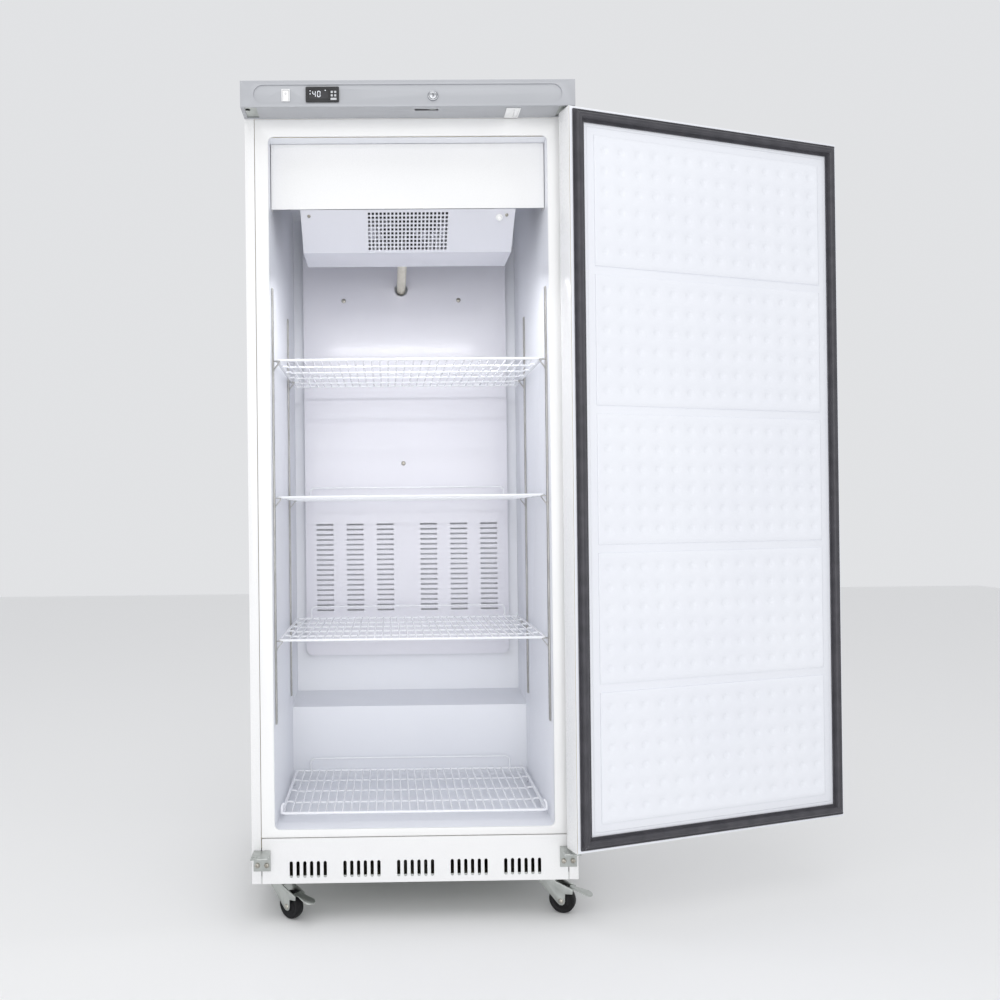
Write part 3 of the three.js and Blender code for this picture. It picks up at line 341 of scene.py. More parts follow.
pattern_screw = turned("pattern_screw", [
    (0, -0.004), (0.0018, -0.004), (0.0018, 0), (0.0042, 0), (0.0042, 0.0008), (0.0038, 0.0018),
    (0.0028, 0.0026), (0.0014, 0.003), (0, 0.0031),
], 16)
carve(pattern_screw, block("slot", (-0.0024, -0.0005, 0.0014), (0.0024, 0.0005, 0.004)))
carve(pattern_screw, block("slot", (-0.0005, -0.0024, 0.0014), (0.0005, 0.0024, 0.004)))


def screw(name, place, direction, body="cabinet", turn=0.3):
    return settle(twin(pattern_screw, name, place, direction, turn), body, bright_zinc)


rear_low, rear_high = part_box("rear_grille")
for i, x in enumerate((rear_low.x + 0.012, rear_high.x - 0.012)):
    for j, z in enumerate((rear_low.z + 0.014, rear_high.z - 0.014)):
        screw(f"rear_cover_screw_{i}{j}", (x, rear_high.y, z), (0, 1, 0), turn=0.4 * i + j)

# ------------------------------------------------------------------ header
# A pressed sheet front over the door, sprayed silver grey, with a long round-ended recess and
# a floor turned back under it. It hangs on the case and carries the switch, lock and controller.

silver_grey = finish(
    "silver grey paint", (0.46, 0.47, 0.495), (0.435, 0.445, 0.47), 0.25, (0.3, 0.42), 0.0009,
    (0.12, 0.0003), 0.2, 0.1,
)
header = eased("header_shell", "header_front", 0.0014, 3, 40)
settle(header, "cabinet", silver_grey)
recess_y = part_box("rocker_bezel")[0].y + 0.0018

# ------------------------------------------------------------------ rocker switch
# A white moulded snap-in switch: a bezel with a tall rocker in it, and a small round mark.

switch_white = finish(
    "switch plastic", (0.93, 0.93, 0.93), (0.9, 0.9, 0.9), 0.05, (0.18, 0.26), 0.0009,
    (0.05, 0.0002),
)
bezel = eased("rocker_bezel", "switch_bezel", 0.0006, 2)
settle(bezel, "cabinet", switch_white)
rocker = eased("power_rocker", "switch_rocker", 0.0008, 2)
settle(rocker, "power_rocker", switch_white)
rocker_low, rocker_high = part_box("power_rocker")
rocker_x = (rocker_low.x + rocker_high.x) / 2
mark = turned("switch_mark", [
    (0.0014, 0), (0.0014, 0.0005), (0.0019, 0.0005), (0.0019, 0), (0.0014, 0),
], 20)
mark = twin(mark, "switch_ring_mark", (rocker_x, rocker_low.y + 0.0021, 1.9405), (0, -1, -0.24))
bpy.data.objects.remove(bpy.data.objects["switch_mark"])
settle(mark, "power_rocker", black_plastic)

# ------------------------------------------------------------------ controller
# A black panel instrument clipped into the recess: a smoked window with two lit figures and
# three lamps, and five pale touch keys that press in at its right.

instrument = eased("controller_body", "controller_case", 0)
settle(instrument, "cabinet", black_plastic)
body_low, body_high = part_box("controller_body")
window_plastic = finish(
    "smoked window", (0.03, 0.03, 0.034), (0.02, 0.02, 0.022), 0.03, (0.05, 0.09), 0.004,
    (0.02, 0.0002), 0, 0.6,
)
window = block("controller_window", (body_low.x + 0.0068, body_low.y + 0.0003, body_low.z + 0.0068),
               (body_low.x + 0.0522, body_low.y + 0.0009, body_high.z - 0.0058))
add_step(window, "rim", "BEVEL", width=0.0003)
settle(window, "cabinet", window_plastic)

lit = finish(
    "lit figures", (0.85, 0.87, 0.9), (0.75, 0.78, 0.82), 0.004, (0.3, 0.4), 0.001, (0.05, 0.0001),
)
lit.node_tree.nodes["Principled BSDF"].inputs["Emission Color"].default_value = (0.85, 0.9, 1, 1)
lit.node_tree.nodes["Principled BSDF"].inputs["Emission Strength"].default_value = 0.55
figures = {"4": "bcfg", "0": "abcdef"}
strokes = {
    "a": (0, 6.4, 1), "b": (3, 3.4, 0), "c": (3, -3.4, 0), "d": (0, -6.4, 1), "e": (-3, -3.4, 0),
    "f": (-3, 3.4, 0), "g": (0, 0, 1),
}
for n, (figure, left) in enumerate((("4", 0.0195), ("0", 0.0305))):
    for letter in figures[figure]:
        dx, dz, flat = strokes[letter]
        half = (0.0024, 0.00055) if flat else (0.00055, 0.0026)
        x = body_low.x + left + dx / 1000
        z = (body_low.z + body_high.z) / 2 + 0.0005 + dz / 1000
        bar = block(f"figure_{n}_{letter}", (x - half[0], body_low.y - 0.0001, z - half[1]),
                    (x + half[0], body_low.y + 0.0006, z + half[1]))
        add_step(bar, "pointed ends", "BEVEL", width=0.00045, affect="VERTICES")
        settle(bar, "cabinet", lit)
lamp_dot = turned("lamp_dot", [(0, 0), (0.0011, 0), (0.0011, 0.0003), (0.0008, 0.0005), (0, 0.0005)], 12)
for n, (dx, dz) in enumerate(((0.0105, 0.0255), (0.0105, 0.0185), (0.0455, 0.0265))):
    spot = (body_low.x + dx, body_low.y + 0.0004, body_low.z + dz)
    dot = twin(lamp_dot, f"controller_lamp_{n}", spot, (0, -1, 0))
    settle(dot, "cabinet", lit)
bpy.data.objects.remove(lamp_dot)

key_plastic = finish(
    "key plastic", (0.62, 0.63, 0.65), (0.55, 0.56, 0.58), 0.01, (0.3, 0.4), 0.0006, (0.1, 0.0002),
)
for n in range(1, 6):
    key = eased(f"controller_button_{n}", f"touch_key_{n}", 0.0006, 2)
    settle(key, f"controller_button_{n}", key_plastic)

# ------------------------------------------------------------------ lock
# A chromed cylinder lock with a raised collar. Behind the header its tailpiece swings a flat
# steel bolt down through the slot in the header's floor, into a pocket in the door's top.

chrome = finish(
    "chrome plate", (0.56, 0.57, 0.59), (0.48, 0.49, 0.51), 0.02, (0.10, 0.2), 0.002,
    (0.05, 0.0002), 1.0,
)
barrel = eased("lock_barrel", "lock_cylinder", 0.0006, 2)
settle(barrel, "lock_barrel", chrome)
barrel_low, barrel_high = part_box("lock_barrel")
lock_x = (barrel_low.x + barrel_high.x) / 2
lock_z = (barrel_low.z + barrel_high.z) / 2
collar = turned("lock_collar", [
    (0.0094, 0), (0.0094, 0.0022), (0.0102, 0.0030), (0.0114, 0.0028), (0.0124, 0.0016), (0.0128, 0),
    (0.0094, 0),
], 40)
collar = twin(collar, "lock_escutcheon", (lock_x, recess_y - 0.0001, lock_z), (0, -1, 0))
bpy.data.objects.remove(bpy.data.objects["lock_collar"])
settle(collar, "cabinet", chrome)
bolt = eased("lock_bolt", "lock_tongue", 0.0006, 2)
settle(bolt, "lock_bolt", zinc_plate)
tail = block("lock_tailpiece", (lock_x - 0.003, barrel_high.y, lock_z - 0.004),
             (lock_x + 0.012, barrel_high.y + 0.002, lock_z + 0.004))
add_step(tail, "round ends", "BEVEL", width=0.0009)
settle(tail, "lock_barrel", zinc_plate)

# ------------------------------------------------------------------ door switch
# A white moulded switch in the header's floor. The door's top edge lifts its long plunger to
# put out the light and stop the fan.

switch_case = eased("door_switch_housing", "door_switch_case", 0.0007, 2)
settle(switch_case, "cabinet", switch_white)
plunger = eased("door_switch_plunger", "door_switch_bar", 0.0007, 2)
settle(plunger, "door_switch_plunger", switch_white)

# ------------------------------------------------------------------ hinges
# Zinc-plated plates with pins for the door's top and bottom at the right, and a spare pair at
# the left for hanging the door the other way. Screws hold the lower angles to the case.

for node, name in (("upper_hinge", "top_hinge_plate"), ("spare_upper_hinge", "spare_top_plate")):
    plate = eased(node, name, 0.0005, 2)
    settle(plate, "cabinet", zinc_plate)
for node, name in (("lower_hinge", "bottom_hinge_angle"), ("spare_lower_hinge", "spare_bottom_angle")):
    angle = eased(node, name, 0.0009, 2)
    settle(angle, "cabinet", zinc_plate)
    low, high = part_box(node)
    for n, x in enumerate((low.x + 0.009, high.x - 0.009)):
        spot = (x, case_low.y - 0.0033, low.z + 0.014)
        fixing = twin(pattern_screw, f"{name}_screw_{n}", spot, (0, -1, 0), 0.5 + n)
        fixing.scale = (1.45, 1.45, 1.2)
        settle(fixing, "cabinet", bright_zinc)

# ------------------------------------------------------------------ door
# An enamelled steel pan filled with foam and closed by a formed white panel. The pan is
# folded, and its corners are welded and dressed.

door_pan = eased("door_skin", "door_pan", 0.003, 3)
settle(door_pan, "door", white_enamel)
coat(frame["nodes"]["door_foam"], raw_foam)

# ------------------------------------------------------------------ door liner
# The door's inner panel, formed from white plastic sheet. Five pads stand up from it between
# shallow grooves, and every pad has six rows of round dimples pressed into it.

pin_x = middle_x + 0.374
pin_y = face_y - 0.045
open_turn = math.radians(198)


def swing_open(piece):
    """Turns a piece that was made on the closed door to where the stored door stands."""
    hold(piece)
    piece.rotation_euler = (0, 0, open_turn)
    piece.location = (
        pin_x - pin_x * math.cos(open_turn) + pin_y * math.sin(open_turn),
        pin_y - pin_x * math.sin(open_turn) - pin_y * math.cos(open_turn), 0,
    )
    set_in_place()
    return piece


def pick(piece, wanted, mode="FACE"):
    """Selects, in edit mode, the faces or edges that a test accepts by centre and direction."""
    bpy.ops.object.mode_set(mode="EDIT")
    bpy.ops.mesh.select_mode(type=mode)
    bpy.ops.mesh.select_all(action="DESELECT")
    bpy.ops.object.mode_set(mode="OBJECT")
    mesh = piece.data
    if mode == "FACE":
        for face in mesh.polygons:
            face.select = wanted(face.center, face.normal)
    else:
        for edge in mesh.edges:
            a, b = (mesh.vertices[i].co for i in edge.vertices)
            edge.select = wanted((a + b) / 2, b - a)
    bpy.ops.object.mode_set(mode="EDIT")


door_low, door_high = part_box("door_skin")
door_left = middle_x - 0.387
door_right = middle_x + 0.387
panel_face = face_y - 0.0157
pad_columns = 14
pad_rows = 6
column_pitch = 0.0458
row_pitch = 0.0470
pad_wide = 0.650
pad_tall = 0.3066
pad_pitch = 0.3246
dimple = 0.0106

bpy.ops.object.select_all(action="DESELECT")
bpy.ops.mesh.primitive_circle_add(vertices=12, radius=dimple, fill_type="NGON", location=(0, 0, 0))
pads = bpy.context.object
pads.name = "door_inner_panel"
bpy.ops.object.mode_set(mode="EDIT")
bpy.ops.mesh.select_all(action="SELECT")
bpy.ops.mesh.inset(thickness=0.0018, depth=-0.0007)
bpy.ops.mesh.inset(thickness=0.0034, depth=-0.0011)
bpy.ops.mesh.select_all(action="DESELECT")
bpy.ops.mesh.primitive_grid_add(x_subdivisions=3, y_subdivisions=3, size=1, location=(0, 0, 0))
bpy.ops.transform.resize(value=(column_pitch, row_pitch, 1))
bpy.ops.mesh.delete(type="ONLY_FACE")
pick(pads, lambda at, run: at.length < 0.4 * column_pitch and at.length > dimple + 0.0002, "EDGE")
bpy.ops.mesh.delete(type="EDGE")
pick(pads, lambda at, run: max(abs(at.x) / column_pitch, abs(at.y) / row_pitch) > 0.49
     or dimple * 0.95 < at.length < dimple * 1.02 and abs(at.normalized().dot(run)) < 0.0003, "EDGE")
bpy.ops.mesh.bridge_edge_loops()
bpy.ops.mesh.select_all(action="SELECT")
bpy.ops.mesh.delete_loose(use_verts=True, use_edges=True, use_faces=False)
bpy.ops.mesh.normals_make_consistent(inside=False)
bpy.ops.object.mode_set(mode="OBJECT")
for count, step in ((pad_columns, (column_pitch, 0, 0)), (pad_rows, (0, row_pitch, 0))):
    add_step(
        pads, "repeat", "ARRAY", count=count, use_relative_offset=False, use_constant_offset=True,
        constant_offset_displace=step, use_merge_vertices=True, merge_threshold=0.0001,
    )
half_x = (pad_columns - 1) / 2 * column_pitch
half_y = (pad_rows - 1) / 2 * row_pitch
bpy.ops.object.mode_set(mode="EDIT")
bpy.ops.mesh.select_all(action="SELECT")
bpy.ops.transform.translate(value=(-half_x, -half_y, 0))
bpy.ops.mesh.region_to_loop()
bpy.ops.mesh.extrude_edges_move()
grown_x = (pad_wide / 2 - 0.004) / (half_x + column_pitch / 2)
grown_y = (pad_tall / 2 - 0.004) / (half_y + row_pitch / 2)
bpy.ops.transform.resize(value=(grown_x, grown_y, 1))
bpy.ops.mesh.extrude_edges_move()
bpy.ops.transform.translate(value=(0, 0, -0.0015))
grown_x = (pad_wide / 2 - 0.001) / (pad_wide / 2 - 0.004)
grown_y = (pad_tall / 2 - 0.001) / (pad_tall / 2 - 0.004)
bpy.ops.transform.resize(value=(grown_x, grown_y, 1))
bpy.ops.mesh.extrude_edges_move()
bpy.ops.transform.translate(value=(0, 0, -0.0055))
bpy.ops.transform.resize(value=(pad_wide / (pad_wide - 0.002), pad_tall / (pad_tall - 0.002), 1))
bpy.ops.mesh.fill()
bpy.ops.mesh.select_all(action="SELECT")
bpy.ops.mesh.remove_doubles(threshold=0.00002)
bpy.ops.mesh.normals_make_consistent(inside=False)
bpy.ops.object.mode_set(mode="OBJECT")
pads.rotation_euler = (math.radians(-90), 0, 0)
pads.location = (middle_x, panel_face + 0.005, door_low.z + 0.062 + pad_tall / 2)
set_in_place()
add_step(
    pads, "five pads", "ARRAY", count=5, use_relative_offset=False, use_constant_offset=True,
    constant_offset_displace=(0, 0, pad_pitch),
)

flange = block("door_panel_flange", (door_left + 0.0015, face_y - 0.0177, door_low.z + 0.0015),
               (door_right - 0.0015, panel_face, door_high.z - 0.0015))
pick(flange, lambda at, normal: normal.y > 0.9)
bpy.ops.mesh.inset(thickness=0.0425, depth=0)
bpy.ops.mesh.inset(thickness=0.0015, depth=0.0017)
bpy.ops.object.mode_set(mode="OBJECT")
add_step(flange, "formed edges", "BEVEL", width=0.0006, segments=2)
pads.select_set(True)
flange.select_set(True)
bpy.context.view_layer.objects.active = pads
bpy.ops.object.join()
swing_open(pads)
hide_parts("door_liner")
settle(pads, "door", liner_plastic)

# ------------------------------------------------------------------ door seal
# A dark grey vinyl seal with a magnet strip inside. Four lengths of one profile are mitred and
# welded at the corners, with a soft bulb that meets the mouth frame and a fin on each side.

vinyl = finish(
    "seal vinyl", (0.062, 0.060, 0.070), (0.044, 0.043, 0.051), 0.03, (0.42, 0.55), 0.0015,
    (0.2, 0.0003),
)
seal_back = face_y - 0.0154
bpy.ops.object.select_all(action="DESELECT")
bpy.ops.mesh.primitive_plane_add(
    size=1, location=(middle_x, seal_back, (door_low.z + door_high.z) / 2),
    rotation=(math.radians(-90), 0, 0),
)
seal = bpy.context.object
seal.name = "door_seal"
seal.scale = (0.758, door_high.z - door_low.z - 0.016, 1)
set_in_place()
bpy.ops.object.mode_set(mode="EDIT")
bpy.ops.mesh.select_all(action="SELECT")
bpy.ops.mesh.inset(thickness=0.028, depth=0)
bpy.ops.mesh.delete(type="FACE")
bpy.ops.mesh.select_all(action="SELECT")
bpy.ops.mesh.extrude_region_shrink_fatten(TRANSFORM_OT_shrink_fatten={"value": 0.0045})
seal_profile = (
    (0.0035, -0.0018), (0.0020, 0.0), (0.0016, 0.0072), (0.0030, 0.0030), (0.0012, 0.0),
    (0.0008, -0.0006),
)
for width, lift in seal_profile:
    bpy.ops.mesh.inset(thickness=width, depth=lift)
bpy.ops.mesh.select_all(action="SELECT")
bpy.ops.mesh.normals_make_consistent(inside=False)
bpy.ops.object.mode_set(mode="OBJECT")
add_step(
    seal, "soft edges", "BEVEL", width=0.0009, segments=2, limit_method="ANGLE",
    angle_limit=math.radians(20),
)
swing_open(seal)
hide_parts("door_gasket")
settle(seal, "door", vinyl)
weld_grey = finish(
    "seal weld", (0.19, 0.19, 0.20), (0.15, 0.15, 0.16), 0.01, (0.4, 0.5), 0.001, (0.1, 0.0002),
)
seal_low_z = door_low.z + 0.008
seal_high_z = door_high.z - 0.008
for n, (x, z, way) in enumerate((
    (middle_x - 0.379, seal_low_z, 1), (middle_x + 0.379, seal_low_z, -1),
    (middle_x + 0.379, seal_high_z, 1), (middle_x - 0.379, seal_high_z, -1),
)):
    inward = Vector((math.copysign(1, middle_x - x), 0, math.copysign(1, 1 - z)))
    spot = Vector((x, 0, z)) + inward * 0.0101
    weld = block(f"seal_weld_{n}", (-0.0055, -0.0006, -0.0003), (0.0055, 0.0006, 0.0003))
    add_step(weld, "soft ends", "BEVEL", width=0.0002)
    weld.rotation_euler = (0, math.radians(-45 * way), 0)
    weld.location = (spot.x, seal_back + 0.01205, spot.z)
    set_in_place()
    swing_open(weld)
    settle(weld, "door", weld_grey)

# ------------------------------------------------------------------ door handle
# A white moulded bow handle near the door's free edge, fixed by a screw through each foot.

handle = eased("door_handle", "door_pull", 0.004, 4)
settle(handle, "door", switch_white)

# ------------------------------------------------------------------ fan housing
# A white enamelled cover panel hangs across the top of the compartment, and a folded sheet
# housing of the same white enamel slopes back under it. Its slope is punched with rows of
# round-cornered holes. Its paint is darker and more lavender than white: painted shade, for
# the shade the housing sits in under the cover.

# Painted shade: the housing's white enamel is darkened to lavender grey for the shade under the cover.
painted_shade_housing_enamel = finish(
    "housing enamel, painted shade", (0.70, 0.705, 0.76), (0.67, 0.675, 0.73), 0.4, (0.2, 0.3), 0.0016,
    (0.1, 0.0004), 0, 0.25,
)
cover = eased("evaporator_front_panel", "evaporator_cover", 0.0016, 3)
settle(cover, "cabinet", white_enamel)
shroud_low, shroud_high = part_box("fan_shroud")
hole_columns = 21
hole_rows = 10
slope_low_y = shroud_low.y + 0.086
slope_tall = math.hypot(slope_low_y - shroud_low.y, shroud_high.z - shroud_low.z)
guard_wide = 0.200
guard_tall = 0.106
half_wide = (shroud_high.x - shroud_low.x) / 2
bpy.ops.object.select_all(action="DESELECT")
bpy.ops.mesh.primitive_grid_add(
    x_subdivisions=hole_columns + 2, y_subdivisions=hole_rows + 2, size=1, location=(0, 0, 0),
)
housing = bpy.context.object
housing.name = "fan_housing"
bpy.ops.transform.resize(value=(
    guard_wide * (hole_columns + 2) / hole_columns, guard_tall * (hole_rows + 2) / hole_rows, 1,
))
set_in_place()
for side in (-1, 1):
    pick(housing, lambda at, run: side * at.x > guard_wide / 2 + 0.006, "EDGE")
    reach = half_wide - guard_wide / 2 - guard_wide / hole_columns
    bpy.ops.transform.translate(value=(side * reach, 0, 0))
    pick(housing, lambda at, run: side * at.y > guard_tall / 2 + 0.006, "EDGE")
    reach = slope_tall / 2 - guard_tall / 2 - guard_tall / hole_rows
    bpy.ops.transform.translate(value=(0, side * reach, 0))
pick(housing, lambda at, normal: abs(at.x) < guard_wide / 2 and abs(at.y) < guard_tall / 2)
bpy.ops.mesh.inset(thickness=0.0019, depth=0, use_individual=True)
bpy.ops.mesh.delete(type="FACE")
bpy.ops.object.mode_set(mode="OBJECT")
slope_lean = math.atan2(shroud_high.z - shroud_low.z, shroud_low.y - slope_low_y)
housing.rotation_euler = (slope_lean, 0, 0)
housing.location = (middle_x, (shroud_low.y + slope_low_y) / 2, (shroud_low.z + shroud_high.z) / 2)
set_in_place()
floor_edge = shroud_low.z + 0.0004
pick(housing, lambda at, run: at.z < floor_edge and abs(run.z) < 0.0001, "EDGE")
bpy.ops.mesh.extrude_edges_move()
bpy.ops.transform.translate(value=(0, shroud_high.y - slope_low_y, 0))
bpy.ops.mesh.extrude_edges_move()
bpy.ops.transform.translate(value=(0, 0, 0.076))
for side in (-1, 1):
    wall_x = middle_x + side * half_wide
    pick(housing, lambda at, run: abs(at.x - wall_x) < 0.0002, "EDGE")
    bpy.ops.mesh.edge_face_add()
bpy.ops.mesh.select_all(action="SELECT")
bpy.ops.mesh.normals_make_consistent(inside=False)
bpy.ops.object.mode_set(mode="OBJECT")
front_faces = [
    face for face in housing.data.polygons
    if abs(face.normal.x) < 0.1 and face.center.y < slope_low_y
]
if front_faces[0].normal.z > 0:
    bpy.ops.object.mode_set(mode="EDIT")
    bpy.ops.mesh.flip_normals()
    bpy.ops.object.mode_set(mode="OBJECT")
add_step(housing, "sheet", "SOLIDIFY", thickness=0.0012, offset=-1)
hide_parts("fan_shroud")
settle(housing, "cabinet", painted_shade_housing_enamel)
for n, x in enumerate((shroud_low.x + 0.02, shroud_high.x - 0.02)):
    out = Vector((0, shroud_low.z - shroud_high.z, shroud_low.y - slope_low_y)).normalized()
    spot = Vector((x, shroud_low.y + 0.012, shroud_high.z - 0.0113)) + out * 0.0001
    screw(f"housing_screw_{n}", spot, out)
fitting_x = shroud_high.x - 0.038
probe = turned("probe_holder", [
    (0, -0.0005), (0.0085, -0.0005), (0.0085, 0.0020), (0.0062, 0.0030), (0.0058, 0.0090), (0.0044, 0.0105),
    (0.0026, 0.0108), (0.0026, 0.0150), (0.0014, 0.0164), (0, 0.0166),
], 28)
probe = twin(probe, "probe_clip", Vector((fitting_x, shroud_low.y + 0.016, shroud_high.z - 0.0151)), out)
bpy.data.objects.remove(bpy.data.objects["probe_holder"])
settle(probe, "cabinet", switch_white)

# ------------------------------------------------------------------ evaporator and its fan
# Aluminium fins pressed on to tubes, with a motor on a strap and a black moulded fan that
# draws the air through the housing's holes.

mill_aluminium = finish(
    "mill aluminium", (0.66, 0.67, 0.69), (0.56, 0.57, 0.59), 0.01, (0.3, 0.45), 0.0008,
    (0.12, 0.0002), 1.0,
)
coat(frame["nodes"]["evaporator_coil"], mill_aluminium)
blades = eased("evaporator_fan", "housing_fan", 0.0006, 2)
settle(blades, "evaporator_fan", black_plastic)
motor = eased("evaporator_fan_motor", "housing_fan_motor", 0.0012, 2, 50)
settle(motor, "cabinet", black_plastic)

# ------------------------------------------------------------------ duct panel
# An enamelled steel panel over the shallow duct in the back wall, with six columns of slots for
# the returning air and a hole for the drain tube. Three screws hold it.

duct_enamel = finish(
    "duct enamel", (0.80, 0.795, 0.85), (0.77, 0.765, 0.825), 0.4, (0.18, 0.28), 0.0016,
    (0.1, 0.0004), 0, 0.3,
)
duct_low, duct_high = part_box("duct_panel")
duct = eased("duct_panel", "duct_cover", 0)
corner = 0.022
for side, edge_x in ((1, duct_low.x), (-1, duct_high.x)):
    outer_x = edge_x - side * 0.001
    inner_x = edge_x + side * corner
    trim_block = block(
        "trim_block", (min(outer_x, inner_x), duct_low.y - 0.002, duct_low.z - 0.001),
        (max(outer_x, inner_x), duct_high.y + 0.002, duct_low.z + corner),
    )
    bpy.ops.object.select_all(action="DESELECT")
    bpy.ops.mesh.primitive_cylinder_add(
        vertices=48, radius=corner, depth=0.2, rotation=(math.radians(90), 0, 0),
        location=(inner_x, duct_low.y, duct_low.z + corner),
    )
    carve(trim_block, bpy.context.object)
    carve(duct, trim_block)
settle(duct, "cabinet", duct_enamel)
for n, (x, z) in enumerate(((-0.182, 1.605), (0.162, 1.605), (-0.008, 1.117))):
    fixing = twin(pattern_screw, f"duct_screw_{n}", (middle_x + x, duct_low.y, z), (0, -1, 0), n)
    fixing.scale = (1.6, 1.6, 1.2)
    settle(fixing, "cabinet", bright_zinc)

# ------------------------------------------------------------------ drain tube
# A cream plastic tube that carries meltwater from the housing back through the duct panel.


def bent_wire(name, corners, radius, bend=0.0, closed=False, sides=1):
    """A round wire drawn along straight runs, with its corners bent to a radius."""
    bpy.ops.object.select_all(action="DESELECT")
    bpy.ops.mesh.primitive_plane_add(size=0.0001, location=corners[0])
    piece = bpy.context.object
    piece.name = name
    set_in_place()
    bpy.ops.object.mode_set(mode="EDIT")
    bpy.ops.mesh.select_mode(type="VERT")
    bpy.ops.mesh.merge(type="CENTER")
    at = Vector(corners[0])
    for corner in list(corners[1:]) + ([corners[0]] if closed else []):
        bpy.ops.mesh.extrude_vertices_move(TRANSFORM_OT_translate={"value": Vector(corner) - at})
        at = Vector(corner)
    bpy.ops.mesh.select_all(action="SELECT")
    bpy.ops.mesh.remove_doubles(threshold=0.00005)
    if bend > 0:
        bpy.ops.object.mode_set(mode="OBJECT")
        joined = {}
        for edge in piece.data.edges:
            for i in edge.vertices:
                joined[i] = joined.get(i, 0) + 1
        for i, corner in enumerate(piece.data.vertices):
            corner.select = joined[i] == 2
        bpy.ops.object.mode_set(mode="EDIT")
        bpy.ops.mesh.bevel(offset=bend, segments=4, affect="VERTICES")
    bpy.ops.object.mode_set(mode="OBJECT")
    bpy.ops.object.convert(target="CURVE")
    piece = bpy.context.object
    piece.data.bevel_depth = radius
    piece.data.bevel_resolution = sides
    piece.data.use_fill_caps = True
    bpy.ops.object.convert(target="MESH")
    piece = bpy.context.object
    bpy.ops.object.mode_set(mode="EDIT")
    bpy.ops.mesh.select_all(action="SELECT")
    bpy.ops.mesh.remove_doubles(threshold=0.00001)
    bpy.ops.mesh.normals_make_consistent(inside=False)
    bpy.ops.object.mode_set(mode="OBJECT")
    return piece


drain_low, drain_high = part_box("drain_pipe")
cream = finish(
    "cream tube", (0.80, 0.76, 0.64), (0.74, 0.70, 0.58), 0.02, (0.35, 0.45), 0.002, (0.1, 0.0003),
)
drain_x = (drain_low.x + drain_high.x) / 2
tube = bent_wire("drain_tube", [
    (drain_x, drain_low.y, drain_high.z - 0.0133), (drain_x, drain_low.y + 0.08, drain_high.z - 0.0140),
    (drain_x, drain_high.y - 0.09, drain_low.z + 0.0160), (drain_x, drain_high.y, drain_low.z + 0.0132),
], 0.0128, 0.03, sides=4)
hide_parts("drain_pipe")
settle(tube, "cabinet", cream)
nut = turned("drain_nut", [
    (0.0131, 0), (0.0172, 0), (0.0180, 0.0012), (0.0180, 0.0085), (0.0168, 0.0100), (0.0145, 0.0125),
    (0.0131, 0.0130), (0.0131, 0),
], 32)
nut.location = (drain_x, drain_low.y + 0.010, drain_high.z - 0.0133)
nut.rotation_euler = (math.radians(-90), 0, 0)
settle(nut, "cabinet", cream)

# ------------------------------------------------------------------ pilasters and shelf clips
# Four roll-formed steel channels with a row of slots, one at each corner of the compartment,
# and bent steel clips hooked into them under the corners of the three upper shelves.

channel_steel = zinc("channel steel", (0.50, 0.495, 0.475), (0.36, 0.355, 0.34), (0.34, 0.5))
strip_low, strip_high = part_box("pilaster_front_left")
slot_pitch = 0.0127
bpy.ops.object.select_all(action="DESELECT")
bpy.ops.mesh.primitive_plane_add(size=1, location=(0, 0, 0))
channel = bpy.context.object
channel.name = "channel_pattern"
bpy.ops.transform.resize(value=(0.0145, slot_pitch, 1))
set_in_place()
bpy.ops.object.mode_set(mode="EDIT")
bpy.ops.mesh.select_all(action="SELECT")
bpy.ops.mesh.inset(thickness=0.0022, depth=0)
bpy.ops.transform.resize(value=(0.42, 1, 1))
bpy.ops.mesh.delete(type="FACE")
bpy.ops.object.mode_set(mode="OBJECT")
add_step(
    channel, "slots", "ARRAY", count=round((strip_high.z - strip_low.z) / slot_pitch),
    use_relative_offset=False, use_constant_offset=True,
    constant_offset_displace=(0, slot_pitch, 0), use_merge_vertices=True, merge_threshold=0.0001,
)
pick(channel, lambda at, run: abs(at.x) > 0.0072, "EDGE")
bpy.ops.mesh.extrude_edges_move()
bpy.ops.transform.translate(value=(0, 0, -0.0032))
bpy.ops.object.mode_set(mode="OBJECT")
add_step(channel, "gauge", "SOLIDIFY", thickness=0.0007, offset=-1)
add_step(channel, "fold", "BEVEL", width=0.0003, limit_method="ANGLE", angle_limit=math.radians(40))

